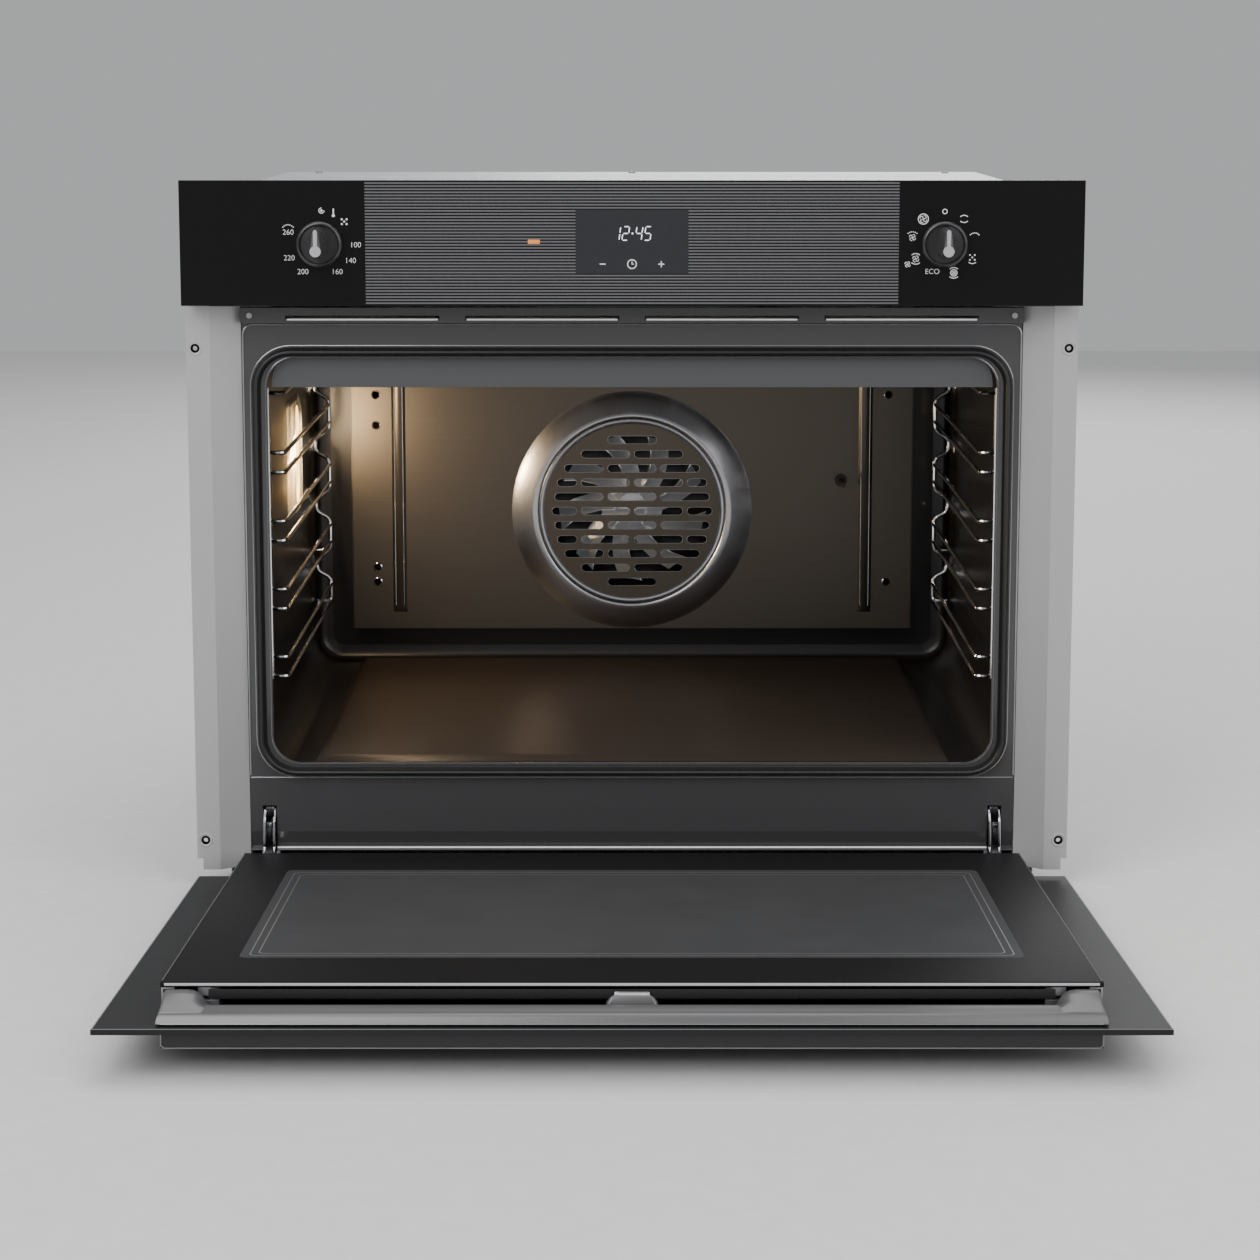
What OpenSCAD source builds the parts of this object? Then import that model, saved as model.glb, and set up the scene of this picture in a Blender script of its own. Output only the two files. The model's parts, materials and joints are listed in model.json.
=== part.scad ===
/* [Overall] */
// Width across the control panel and the door glass
front_w = 756; // [700:1:820]
// Width of the steel carcass
body_w = 710; // [690:1:740]
// Height of the top of the control panel above the base
front_top_z = 612; // [600:1:640]
// Height of the top cover above the base
body_h = 598; // [590:1:630]
// Depth of the steel carcass
body_d = 544; // [535:1:640]
// Depth from the front glass face to the carcass
body_inset = 28; // [28:1:34]
// Thickness of the carcass sheets
sheet_t = 1.2; // [0.8:0.1:2]

/* [Control panel] */
// Height of the control panel glass
panel_h = 104.7; // [95:0.1:120]
// Thickness of the control panel glass
panel_glass_t = 5; // [3:0.5:8]
// Height of the knob and display line
control_z = 559; // [552:1:566]
// Distance of each knob axis from the middle
knob_x = 261; // [240:1:300]
// Width of the display window
display_w = 94.4; // [70:0.2:130]
// Height of the display window
display_h = 53.4; // [36:0.2:70]
// Thickness of the display window
display_t = 1.5; // [1:0.1:3]
// Depth of the frame behind the panel glass
carrier_d = 42; // [36:1:60]
// Distance of the indicator lens from the middle
indicator_x = 82; // [70:1:100]
// Width of the indicator lens
indicator_w = 10; // [6:1:16]
// Height of the indicator lens
indicator_h = 3.4; // [2:0.2:6]

/* [Knobs] */
// Radius of the knob skirt
knob_r = 19.35; // [17:0.05:24]
// Height of the knob skirt above the glass
knob_skirt_h = 7; // [5:0.5:10]
// Radius of the dished disc inside the skirt
knob_dish_r = 15.75; // [13:0.05:18]
// Depth of the dish
knob_dish_t = 2.6; // [1:0.1:4]
// Height of the grip above the glass
knob_grip_h = 34; // [26:1:42]
// Width of the grip blade
knob_grip_w = 11.4; // [8:0.2:14]
// Radius of the pointer drop
pointer_r = 4.9; // [3:0.1:5.6]
// Width of the pointer bar
pointer_w = 3.2; // [1.6:0.1:4]
// Thickness of the pointer insert
pointer_t = 0.8; // [0.5:0.1:2]
// Radius of the control shafts
knob_shaft_r = 3; // [2.5:0.1:4]
// Gap between knob and panel glass
knob_gap = 0.6; // [0.3:0.1:1.5]

/* [Door] */
// Angle of the resting door from upright
door_open_deg = 86.2; // [80:0.1:90]
// Height of the door pivot above the base
pivot_z = 20; // [19.6:0.1:24]
// Depth of the door pivot behind the front glass face
pivot_d = 16; // [14:0.1:18]
// Height of the outer glass above the pivot
door_glass_top = 484.3; // [470:0.1:484.5]
// Drop of the outer glass below the pivot
door_glass_drop = 10; // [6:0.1:12]
// Thickness of each door glass
door_glass_t = 4; // [3:0.5:4]
// Width of the inner glass
inner_glass_w = 669.5; // [640:0.5:674]
// Lower edge of the inner glass above the pivot
inner_glass_u0 = 12; // [12:1:20]
// Upper edge of the inner glass above the pivot
inner_glass_u1 = 450; // [449:1:456]
// Distance of the inner glass face from the pivot plane
inner_glass_v = 13; // [12:0.1:13.5]
// Upper edge of the ledge above the pivot
ledge_u1 = 478; // [474:1:482]
// Width of the end blocks of the ledge
ledge_end_w = 31.7; // [24:0.1:40]
// Width of the lock catch bulge
catch_w = 39; // [30:1:50]

/* [Handle] */
// Length of the handle bar
handle_w = 667; // [600:1:700]
// Height of the handle bar along the door
handle_h = 20; // [14:1:26]
// Thickness of the handle bar
handle_t = 12.5; // [8:0.5:14]
// Gap between the handle bar and the door glass
handle_gap = 4; // [3:0.5:8]
// Distance of the handle line from the pivot
handle_u = 450; // [430:1:460]
// Distance of each handle post from the middle
handle_post_x = 250; // [200:1:300]
// Radius of the handle posts
handle_post_r = 6; // [4:0.5:8]

/* [Hinges] */
// Distance of each hinge from the middle
hinge_x = 316.5; // [310:0.5:318]
// Width of the hinge arm channel
hinge_w = 10.4; // [8:0.2:11]
// Wall thickness of the hinge arm channel
hinge_wall = 2; // [1.5:0.1:3]
// Radius of the hinge pins
hinge_pin_r = 3; // [2.5:0.1:4]
// Top of the hinge slots above the base
hinge_slot_z = 67; // [60:1:72]
// Clearance on each side of the hinge arm
hinge_gap = 0.8; // [0.4:0.1:1.5]
// Length of the hinge housing in the door
hinge_case_l = 190; // [150:5:260]
// Travel of the tension rod while the door turns
rod_travel = 24; // [10:1:40]
// Radius of the tension rod
rod_r = 2.5; // [2:0.1:3]

/* [Side frames] */
// Half width at the outer edge of the mounting flange
flange_x1 = 378; // [376:1:384]
// Half width at the inner edge of the mounting flange
flange_x0 = 358; // [356.5:0.5:362]
// Depth of the mounting flange behind the front
flange_d = 22; // [20:1:24]
// Half width at the foot of the slanted return
return_x = 333.5; // [332:0.5:340]
// Bottom of the side frames above the base
frame_z0 = 14; // [13:1:20]
// Height of the notch in the flange corner
flange_notch = 10; // [6:1:16]
// Radius of the cabinet screw holes
cab_hole_r = 2.5; // [2:0.1:3.5]
// Distance of the cabinet screws from the middle
cab_screw_x = 370.5; // [368:0.5:372]
// Height of the lower cabinet screws
cab_screw_z0 = 40.5; // [36:0.5:50]
// Height of the upper cabinet screws
cab_screw_z1 = 469.5; // [450:0.5:480]

/* [Cavity] */
// Depth of the front plate behind the front
plate_d = 38; // [38:1:42]
// Width of the front plate
plate_w = 666; // [650:1:666]
// Bottom of the front plate above the base
plate_z0 = 92.7; // [88:0.1:94]
// Top of the front plate above the base
plate_z1 = 489.7; // [485:0.1:489.9]
// Width of the cavity mouth
mouth_w = 624; // [600:1:628]
// Bottom of the cavity mouth
mouth_z0 = 105.6; // [104:0.1:108]
// Top of the cavity mouth
mouth_z1 = 459.7; // [452:0.1:459.7]
// Corner radius of the cavity mouth
mouth_r = 25; // [18:1:34]
// Inner width of the cavity
cavity_w = 644; // [630:1:644]
// Height of the cavity floor
cavity_z0 = 103; // [101:0.5:104]
// Height of the cavity ceiling
cavity_z1 = 463; // [461:0.5:464]
// Depth of the cavity behind the front plate
cavity_d = 454; // [430:1:456]
// Thickness of the cavity steel
liner_t = 1; // [0.8:0.1:1.5]
// Width of the door seal bead
seal_w = 7; // [5:0.5:8]
// Projection of the door seal from the front plate
seal_h = 8.4; // [6:0.1:8.5]
// Gap between the mouth rim and the door seal at the sides
seal_side_gap = 4.4; // [1:0.1:5]
// Gap between the mouth rim and the door seal at the bottom
seal_low_gap = 2.9; // [0.5:0.1:3]
// Gap between the mouth rim and the door seal at the top
seal_top_gap = 0.7; // [0.5:0.1:3]
// Width of the raised rim round the mouth
rim_t = 1.2; // [1:0.1:2]
// Height of the hanging lip under the ceiling
lip_h = 29; // [20:1:34]
// Thickness of the hanging lip
lip_t = 1; // [0.8:0.1:2]

/* [Fan cover] */
// Width of the fan cover panel
cover_w = 566; // [520:1:580]
// Bottom of the fan cover panel
cover_z0 = 141; // [130:1:150]
// Top of the fan cover panel
cover_z1 = 455; // [440:1:458]
// Space between the fan cover panel and the back wall
cover_gap = 31; // [28:1:36]
// Thickness of the fan cover panel
cover_t = 1; // [0.8:0.1:1.5]
// Height of the fan axis
fan_z = 262.7; // [255:0.1:275]
// Outer radius of the pressed ring
ring_r1 = 119.7; // [110:0.1:124]
// Inner radius of the pressed ring
ring_r0 = 95; // [92:0.5:98]
// Radius of the grille disc
grille_r = 88.5; // [84:0.5:90]
// Forward step of the grille disc
ring_step = 8; // [5:0.5:12]
// Radius that clips the grille slots
slot_clip_r = 81; // [76:0.5:84]
// Pitch of the grille slot rows
slot_row_pitch = 14.5; // [13:0.1:16]
// Height of each grille slot
slot_h = 8; // [6:0.2:9]
// Pitch of the slots in a row
slot_pitch = 53.5; // [50:0.5:56]
// Gap between the slots in a row
slot_gap = 4.2; // [3:0.1:6]
// Distance of the upright beads from the middle
bead_x = 235.5; // [225:0.5:240]
// Distance of the cover screws from the middle
cover_hole_x = 258; // [250:1:264]
// Radius of the cover screw holes
cover_hole_r = 3.5; // [2.5:0.1:4.5]

/* [Fans] */
// Radius of the convection fan
fan_r = 74; // [64:1:82]
// Depth of the fan blades
fan_blade_d = 16; // [12:1:18]
// Number of fan blades
fan_blades = 9; // [6:1:12]
// Radius of the fan hub
fan_hub_r = 14; // [10:0.5:18]
// Radius of the fan shaft
fan_shaft_r = 4; // [3:0.5:5]
// Radius of the fan motor
motor_r = 38; // [30:1:42]
// Length of the fan motor
motor_l = 34; // [26:1:36]
// Radius of the ring heater
heater_r = 96; // [90:1:104]
// Tube radius of the heaters
tube_r = 3.2; // [2.5:0.1:4]
// Radius of the cooling fan drum
drum_r = 27; // [22:1:29]
// Length of the cooling fan drum
drum_l = 180; // [140:1:220]
// Depth of the cooling fan axis behind the front
drum_d = 330; // [300:1:380]
// Number of vanes on the cooling fan drum
drum_vanes = 20; // [12:1:28]
// Width of the cooling duct
duct_w = 220; // [200:1:260]
// Clearance around each fan
fan_gap = 3; // [2:0.5:6]

/* [Side racks] */
// Distance of the rack rails from the middle
rack_x = 303; // [296:1:306]
// Wire radius of the side racks
wire_r = 2; // [1.6:0.1:2.6]
// Depth of the front rack post behind the front
rack_d0 = 76; // [70:1:90]
// Depth of the rear rack post behind the front
rack_d1 = 438; // [420:1:442]
// Height of the lowest rack pair
rack_z0 = 183; // [176:1:190]
// Pitch of the rack levels
rack_pitch = 60.4; // [54:0.1:62]
// Distance between the two wires of a level
rack_pair = 17.2; // [14:0.1:24]
// Number of rack levels
rack_levels = 4; // [3:1:4]

/* [Lamp] */
// Depth of the lamp behind the front
lamp_d = 292; // [260:1:320]
// Height of the lamp
lamp_z = 341; // [320:1:360]
// Width of the lamp cover
lamp_w = 96; // [60:1:110]
// Height of the lamp cover
lamp_h = 112; // [80:1:124]
// Projection of the lamp glass into the cavity
lamp_lens_t = 5; // [3:0.5:7]
// Depth of the lamp housing behind the cavity wall
lamp_case_t = 11; // [10.5:0.5:16]
// Radius of the lamp bulb
lamp_bulb_r = 3.6; // [2.5:0.1:4]
// Radius of the lamp socket
lamp_socket_r = 4.6; // [4:0.1:4.7]

/* [Hidden] */
// fan cover screw places, level and height
cover_holes = [[-cover_hole_x, 349], [-cover_hole_x, 204], [cover_hole_x, 380], [cover_hole_x, 189]];
$fn = 48;

front_y = -(body_d / 2 + body_inset);
half_front = front_w / 2;
half_body = body_w / 2;
display_z = control_z + 2;
back_d = body_d + body_inset;
panel_z0 = front_top_z - panel_h;
pivot_y = front_y + pivot_d;
back_wall_d = plate_d + cavity_d;
cover_d = back_wall_d - cover_gap;
cavity_half = cavity_w / 2;
cavity_r = mouth_r;
plate_back_d = plate_d + sheet_t;
outer_half = cavity_half + liner_t;
wrap_z0 = cavity_z0 - liner_t;
wrap_z1 = cavity_z1 + liner_t;
frame_top_z = panel_z0 - 1.3;
wool_half = half_body - 12;
wool_z0 = 74;
wool_z1 = 494;
wool_gap = 0.4;
wool_rear_t = 22;
wool_rear_d = back_wall_d + liner_t;
motor_d = wool_rear_d + 7;
motor_hole_r = motor_r + fan_gap;
fan_back_d = back_wall_d - 6;
shaft_hole_r = fan_shaft_r + 2;
grille_d = cover_d - ring_step;
duct_z0 = wool_z1 + 1;
duct_z1 = body_h - 12;
duct_mouth_z = 40;
drum_z = duct_z0 + drum_r + fan_gap + 5;
duct_t = 1;
glass_v1 = pivot_d;
glass_v0 = glass_v1 - door_glass_t;
inner_v1 = door_glass_t - inner_glass_v;
door_half = inner_glass_w / 2;
case_x0 = hinge_x - hinge_w / 2 - hinge_gap - hinge_wall;
case_x1 = hinge_x + hinge_w / 2 + hinge_gap + hinge_wall;
middle_half = case_x0 - 3;
mount_t = 2;
mount_half = hinge_w / 2 + 0.4 + mount_t;
mount_d = pivot_d + 32;
handle_v0 = glass_v1 + handle_gap;
rail_v0 = inner_v1;
ledge_floor_v = 6;
ledge_crest_v = 2.2;
catch_v = 6.4;
catch_r = 3.6;
lamp_wall = 1;
lamp_hole_w = lamp_w - 14;
lamp_hole_h = lamp_h - 14;
gland_z = 470;
gland_x = 250;
gland_r = 8;
terminal_w = 64;
vent_slot_w = 131;
vent_slot_h = 3.5;
vent_slot_pitch = 152.7;
screw_r = 3.4;
probe_x = 211;
probe_z = 293;
probe_r = 2.6;
probe_l = 34;
chimney_x = 160;
chimney_d = 400;
chimney_r = 14;
chimney_flange_r = 21;
chimney_l = 56;
rack_bend_r = 5;
rack_post_r = wire_r + 0.6;
heater_bend_r = 12;
heater_x = [60, 80, 230];
heater_d = [120, 380, 440];
rod_u0 = 96;
rod_head_r = rod_r + 1.6;
rod_l = hinge_case_l - rod_u0 - rod_travel;

steel = [0.62, 0.63, 0.64];
frame_grey = [0.72, 0.72, 0.72];
enamel = [0.16, 0.16, 0.17];
bright = [0.8, 0.8, 0.82];
black = [0.04, 0.04, 0.045];
brownish = [0.45, 0.4, 0.34];

// Box between two corners given across, back from the front face and up
module slab(x0, x1, d0, d1, z0, z1) {
  translate([x0, front_y + d0, z0]) cube([x1 - x0, d1 - d0, z1 - z0]);
}

// Cylinder that runs back from a depth
module rod_y(x, d, z, r, l) {
  translate([x, front_y + d, z]) rotate([-90, 0, 0]) cylinder(r = r, h = l);
}

// Cylinder that runs across to the right
module rod_x(x, d, z, r, l) {
  translate([x, front_y + d, z]) rotate([0, 90, 0]) cylinder(r = r, h = l);
}

// Upright cylinder
module rod_z(x, d, z, r, l) {
  translate([x, front_y + d, z]) cylinder(r = r, h = l);
}

// Rounded rectangle block standing across the oven
module round_block(half, z0, z1, r, d0, d1) {
  slab(-half + r, half - r, d0, d1, z0, z1);
  slab(-half, half, d0, d1, z0 + r, z1 - r);
  for (x = [-half + r, half - r]) for (z = [z0 + r, z1 - r]) rod_y(x, d0, z, r, d1 - d0);
}

// Straight level tube between two points given as across and depth
module tube(a, b, z, r) {
  v = b - a;
  translate([a[0], front_y + a[1], z]) rotate([0, 90, atan2(v[1], v[0])])
    cylinder(r = r, h = norm(v), $fn = 24);
}

// Quarter bend of a level tube about a centre, from a start angle
module tube_bend(c, a0, z, bend_r, r) {
  translate([c[0], front_y + c[1], z]) rotate([0, 0, a0])
    rotate_extrude(angle = 90, $fn = 48) translate([bend_r, 0]) circle(r = r, $fn = 24);
}

// Places the door parts, drawn upright on the pivot, at the resting angle
module door_place() {
  translate([0, pivot_y, pivot_z]) rotate([door_open_deg, 0, 0]) children();
}

// Door box: across, up from the pivot, outwards from the pivot plane
module door_slab(x0, x1, u0, u1, v0, v1) {
  translate([x0, -v1, u0]) cube([x1 - x0, v1 - v0, u1 - u0]);
}

module base_plate() {
  x = half_body - sheet_t;
  color(steel) difference() {
    union() {
      slab(-x, x, body_inset, back_d, 0, sheet_t);
      slab(-x, x, back_d - sheet_t, back_d, sheet_t, 20);
      for (i = [-1, 1]) slab(i * 180 - 4, i * 180 + 4, 70, 520, sheet_t, 5);
    }
    for (i = [-4 : 4]) slab(i * 30 - 5, i * 30 + 5, 240, 300, -1, sheet_t + 1);
  }
}

module side_panel_shape() {
  x = half_body - sheet_t;
  difference() {
    union() {
      slab(x, half_body, flange_d + 42, back_d, 0, body_h);
      slab(x - 10, x, flange_d + 42, flange_d + 42 + sheet_t, 80, body_h - 10);
    }
    for (i = [0 : 7]) slab(x - 1, half_body + 1, 420, 490, 120 + i * 14, 125 + i * 14);
    for (i = [0 : 3]) slab(x - 1, half_body + 1, 160, 230, 540 + i * 12, 545 + i * 12);
  }
}

module side_panel_left() {
  color(steel) mirror([1, 0, 0]) side_panel_shape();
}

module side_panel_right() {
  color(steel) side_panel_shape();
}

module rear_cover() {
  x = half_body - sheet_t;
  color(steel) difference() {
    slab(-x, x, back_d, back_d + sheet_t, 0, body_h);
    for (i = [-5 : 5]) slab(i * 24 - 4, i * 24 + 4, back_d - 1, back_d + 3, 210, 318);
    for (i = [-8 : 8]) slab(i * 30 - 9, i * 30 + 9, back_d - 1, back_d + 3, 560, 566);
    rod_y(gland_x, back_d - 1, gland_z, gland_r, 4);
  }
}

module top_cover() {
  color(steel) difference() {
    slab(-half_body, half_body, carrier_d + 8, back_d + sheet_t, body_h, body_h + sheet_t);
    for (i = [-9 : 9]) slab(i * 30 - 9, i * 30 + 9, 440, 446, body_h - 1, body_h + 3);
    for (i = [-9 : 9]) slab(i * 30 - 9, i * 30 + 9, 460, 466, body_h - 1, body_h + 3);
  }
}

module side_frame_shape() {
  t = sheet_t;
  f = flange_d;
  r = return_x;
  p = plate_d + 12;
  hb = half_body - t;
  difference() {
    translate([0, front_y, frame_z0]) linear_extrude(frame_top_z - frame_z0)
      polygon([
        [flange_x1, f], [flange_x1, f + t], [flange_x0 + 0.4, f + t], [r + t + 0.2, plate_d + 0.8],
        [r + t + 0.2, p], [hb, p], [hb, p + 14], [hb - t, p + 14],
        [hb - t, p + t], [r, p + t], [r, plate_d], [flange_x0, f]
      ]);
    slab(flange_x1 - 5, flange_x1 + 1, f - 1, f + t + 1, frame_z0 - 1, frame_z0 + flange_notch);
    for (z = [cab_screw_z0, cab_screw_z1]) rod_y(cab_screw_x, f - 1, z, cab_hole_r, t + 2);
  }
}

module side_frame_left() {
  color(frame_grey) mirror([1, 0, 0]) side_frame_shape();
}

module side_frame_right() {
  color(frame_grey) side_frame_shape();
}

module vent_plate() {
  x = return_x - 0.5;
  z0 = plate_z1 + 0.3;
  z1 = panel_z0 - 3.8;
  color(enamel) difference() {
    union() {
      slab(-x, x, plate_d - 8, plate_d - 8 + sheet_t, z0, z1);
      slab(-x, x, plate_d - 8 + sheet_t, plate_d + 14, z0, z0 + sheet_t);
      slab(-x, x, plate_d - 8 + sheet_t, plate_d + 6, z1 - sheet_t, z1);
    }
    for (i = [-1.5 : 1 : 1.5])
      slab(i * vent_slot_pitch - vent_slot_w / 2, i * vent_slot_pitch + vent_slot_w / 2,
        plate_d - 9, plate_d - 6, z0 + 3, z0 + 3 + vent_slot_h);
  }
}

module cavity_wrapper() {
  r = cavity_r;
  color(enamel) difference() {
    round_block(outer_half, wrap_z0, wrap_z1, r + liner_t, plate_back_d, back_wall_d);
    round_block(cavity_half, cavity_z0, cavity_z1, r, plate_back_d - 1, back_wall_d + 1);
    slab(-outer_half - 1, -cavity_half + 1, lamp_d - lamp_hole_w / 2, lamp_d + lamp_hole_w / 2,
      lamp_z - lamp_hole_h / 2, lamp_z + lamp_hole_h / 2);
    rod_z(chimney_x, chimney_d, cavity_z1 - 1, chimney_r + 2, 4);
  }
}

module cavity_back_wall() {
  color(enamel) difference() {
    round_block(outer_half, wrap_z0, wrap_z1, cavity_r + liner_t, back_wall_d, back_wall_d + liner_t);
    rod_y(0, back_wall_d - 1, fan_z, shaft_hole_r, 4);
    for (x = [-12, 12]) rod_y(x, back_wall_d - 1, fan_z + heater_r, tube_r + 1, 4);
  }
}

module cavity_front_plate() {
  x = plate_w / 2;
  color(enamel) difference() {
    union() {
      slab(-x, x, plate_d, plate_back_d, plate_z0, plate_z1);
      round_block(mouth_w / 2 + rim_t, mouth_z0 - rim_t, mouth_z1 + rim_t, mouth_r + rim_t,
        plate_d - 1.5, plate_back_d);
    }
    round_block(mouth_w / 2, mouth_z0, mouth_z1, mouth_r, plate_d - 4, plate_back_d + 1);
  }
}

module lower_front_panel() {
  x = plate_w / 2;
  s = hinge_w / 2 + hinge_gap;
  m = mount_half + hinge_gap;
  z0 = 27;
  crease_z = 44;
  color(enamel) difference() {
    union() {
      translate([-x, front_y, 0]) rotate([90, 0, 90]) linear_extrude(2 * x)
        polygon([
          [plate_d, plate_z0], [plate_d, crease_z], [plate_d + 3, z0 + 3], [plate_d - 1, z0 + 1],
          [plate_d - 1, z0], [plate_d + 26, z0], [plate_d + 26, z0 + 1.2], [plate_d + 4.4, z0 + 1.2],
          [plate_d + sheet_t, crease_z], [plate_d + sheet_t, plate_z0]
        ]);
    }
    for (i = [-1, 1])
      slab(i * hinge_x - s, i * hinge_x + s, plate_d - 3, plate_d + 30, z0 - 1, hinge_slot_z);
    for (i = [-1, 1])
      slab(i * hinge_x - m, i * hinge_x + m, mount_d - 1, plate_d + 30, z0 - 1, z0 + 3);
  }
}

module seal_ring(w, d0, d1) {
  grow = seal_w - (seal_w - w) / 2;
  half = mouth_w / 2 + rim_t + seal_side_gap + grow;
  z0 = mouth_z0 - rim_t - seal_low_gap - grow;
  z1 = mouth_z1 + rim_t + seal_top_gap + grow;
  r = mouth_r + rim_t + seal_top_gap + grow;
  difference() {
    round_block(half, z0, z1, r, d0, d1);
    round_block(half - w, z0 + w, z1 - w, r - w, d0 - 1, d1 + 1);
  }
}

module door_seal() {
  color(black) union() {
    seal_ring(seal_w, plate_d - seal_h * 0.6, plate_d);
    seal_ring(seal_w - 3, plate_d - seal_h, plate_d - seal_h * 0.6);
  }
}

module cavity_lip() {
  x = mouth_w / 2 - 3;
  d = plate_back_d + 4;
  flat = cavity_half - cavity_r - 2;
  color(enamel) union() {
    difference() {
      round_block(x, cavity_z1 - lip_h - 60, cavity_z1, cavity_r, d, d + lip_t);
      slab(-x - 1, x + 1, d - 1, d + lip_t + 1, cavity_z1 - lip_h - 61, cavity_z1 - lip_h);
    }
    slab(-flat, flat, d + lip_t, d + lip_t + 17, cavity_z1 - 1, cavity_z1);
  }
}

module grille_slots() {
  for (row = [-5 : 5]) {
    shift = (abs(row) % 2 == 1) ? 0 : slot_pitch / 2;
    for (i = [-2 : 2]) {
      x0 = max(i * slot_pitch + shift - (slot_pitch - slot_gap) / 2,
        -sqrt(slot_clip_r * slot_clip_r - pow(row * slot_row_pitch, 2)));
      x1 = min(i * slot_pitch + shift + (slot_pitch - slot_gap) / 2,
        sqrt(slot_clip_r * slot_clip_r - pow(row * slot_row_pitch, 2)));
      if (x1 - x0 > slot_h + 1) {
        z = fan_z + row * slot_row_pitch;
        slab(x0 + slot_h / 2, x1 - slot_h / 2, grille_d - 1, grille_d + 2, z - slot_h / 2, z + slot_h / 2);
        for (x = [x0 + slot_h / 2, x1 - slot_h / 2])
          translate([x, front_y + grille_d - 1, z]) rotate([-90, 0, 0])
            cylinder(r = slot_h / 2, h = 3, $fn = 24);
      }
    }
  }
}

module fan_cover_panel() {
  x = cover_w / 2;
  t = cover_t;
  bead_w = 7;
  color(brownish) difference() {
    union() {
      slab(-x, x, cover_d, cover_d + t, cover_z0, cover_z1);
      for (i = [-1, 1]) slab(i * (x - t / 2) - t / 2, i * (x - t / 2) + t / 2, cover_d + t,
        back_wall_d - 0.5, cover_z0, cover_z1);
      for (i = [-1, 1]) slab(i * bead_x - bead_w, i * bead_x + bead_w, cover_d - 3, cover_d, 162, cover_z1);
      translate([0, front_y + cover_d, fan_z]) rotate([90, 0, 0])
        cylinder(r1 = ring_r1, r2 = ring_r0, h = ring_step, $fn = 96);
    }
    translate([0, front_y + cover_d + t + 0.01, fan_z]) rotate([90, 0, 0])
      cylinder(r1 = ring_r1 - t, r2 = ring_r0 - t, h = ring_step, $fn = 96);
    translate([0, front_y + grille_d, fan_z]) rotate([-90, 0, 0])
      difference() {
        translate([0, 0, -1]) cylinder(r = ring_r0 - 1.2, h = 2, $fn = 96);
        translate([0, 0, -2]) cylinder(r = grille_r, h = 4, $fn = 96);
      }
    grille_slots();
    for (z = [380, 349, 204, 189]) rod_y(-cover_hole_x, cover_d - 1, z, cover_hole_r, 3);
    for (z = [380, 189]) rod_y(cover_hole_x, cover_d - 1, z, cover_hole_r, 3);
  }
}

module ring_heater() {
  color(steel) union() {
    translate([0, front_y + back_wall_d - 15, fan_z]) rotate([90, 0, 0]) rotate([0, 0, 97])
      rotate_extrude(angle = 346, $fn = 96) translate([heater_r, 0]) circle(r = tube_r, $fn = 24);
    for (x = [-12, 12]) rod_y(x, back_wall_d - 16, fan_z + heater_r - 0.7, tube_r, 30);
  }
}

// Heater loop lying level, with both ends at the rear
module heater_loop(z, end_d) {
  b = heater_bend_r;
  x = heater_x;
  d = heater_d;
  r = tube_r;
  union() {
    for (s = [-1, 1]) {
      tube([s * x[0], end_d], [s * x[0], d[2] + b], z, r);
      tube_bend([s * (x[0] + b), d[2] + b], s > 0 ? 180 : 270, z, b, r);
      tube([s * (x[0] + b), d[2]], [s * (x[2] - b), d[2]], z, r);
      tube_bend([s * (x[2] - b), d[2] - b], s > 0 ? 0 : 90, z, b, r);
      tube([s * x[2], d[2] - b], [s * x[2], d[0] + b], z, r);
      tube_bend([s * (x[2] - b), d[0] + b], s > 0 ? 270 : 180, z, b, r);
      tube([s * (x[2] - b), d[0]], [s * (x[1] + b), d[0]], z, r);
      tube_bend([s * (x[1] + b), d[0] + b], s > 0 ? 180 : 270, z, b, r);
      tube([s * x[1], d[0] + b], [s * x[1], d[1] - b], z, r);
      tube_bend([s * (x[1] - b), d[1] - b], s > 0 ? 0 : 90, z, b, r);
    }
    tube([-(x[1] - b), d[1]], [x[1] - b, d[1]], z, r);
  }
}

module grill_element() {
  color(steel) heater_loop(cavity_z1 - 22, cover_d - 1);
}

module bottom_element() {
  color(steel) heater_loop(wrap_z0 - 6, wool_rear_d + 7);
}

module side_rack_shape() {
  wall_x = cavity_half - 5;
  zb = rack_z0 - 11;
  zt = rack_z0 + (rack_levels - 1) * rack_pitch + 62;
  h = rack_pair / 2;
  b = rack_bend_r;
  levels = rack_levels - 1;
  heights = [for (i = [0 : levels]) for (s = [-1, 1]) rack_z0 + i * rack_pitch + s * h];
  union() {
    rod_z(wall_x, rack_d0, zb, rack_post_r, zt - zb + 4);
    rod_z(rack_x, rack_d1, zb, rack_post_r, zt - zb + 4);
    for (z = concat(heights, [zt])) {
      tube([rack_x + b, rack_d0], [wall_x, rack_d0], z, wire_r);
      tube_bend([rack_x + b, rack_d0 + b], 180, z, b, wire_r);
      tube([rack_x, rack_d0 + b], [rack_x, rack_d1], z, wire_r);
    }
  }
}

module side_rack_left() {
  color(bright) mirror([1, 0, 0]) side_rack_shape();
}

module side_rack_right() {
  color(bright) side_rack_shape();
}

module rack_pins() {
  zt = rack_z0 + (rack_levels - 1) * rack_pitch + 62;
  color(bright) for (s = [-1, 1]) for (z = [rack_z0 + 40, zt - 30]) {
    x = s * (cavity_half - 4.5);
    translate([x, front_y + rack_d1 + 14, z]) rotate([0, s * 90, 0]) translate([0, 0, -5])
      cylinder(r = 3, h = 9.5, $fn = 24);
    translate([x - s * 6.5, front_y + rack_d1 + 14, z]) rotate([0, s * 90, 0])
      cylinder(r = 5, h = 1.5, $fn = 24);
  }
}

module cover_screws() {
  color(bright) for (p = cover_holes) {
    rod_y(p[0], cover_d - 2, p[1], cover_hole_r + 1.6, 2);
    rod_y(p[0], cover_d, p[1], cover_hole_r - 0.4, 12);
  }
}

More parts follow.
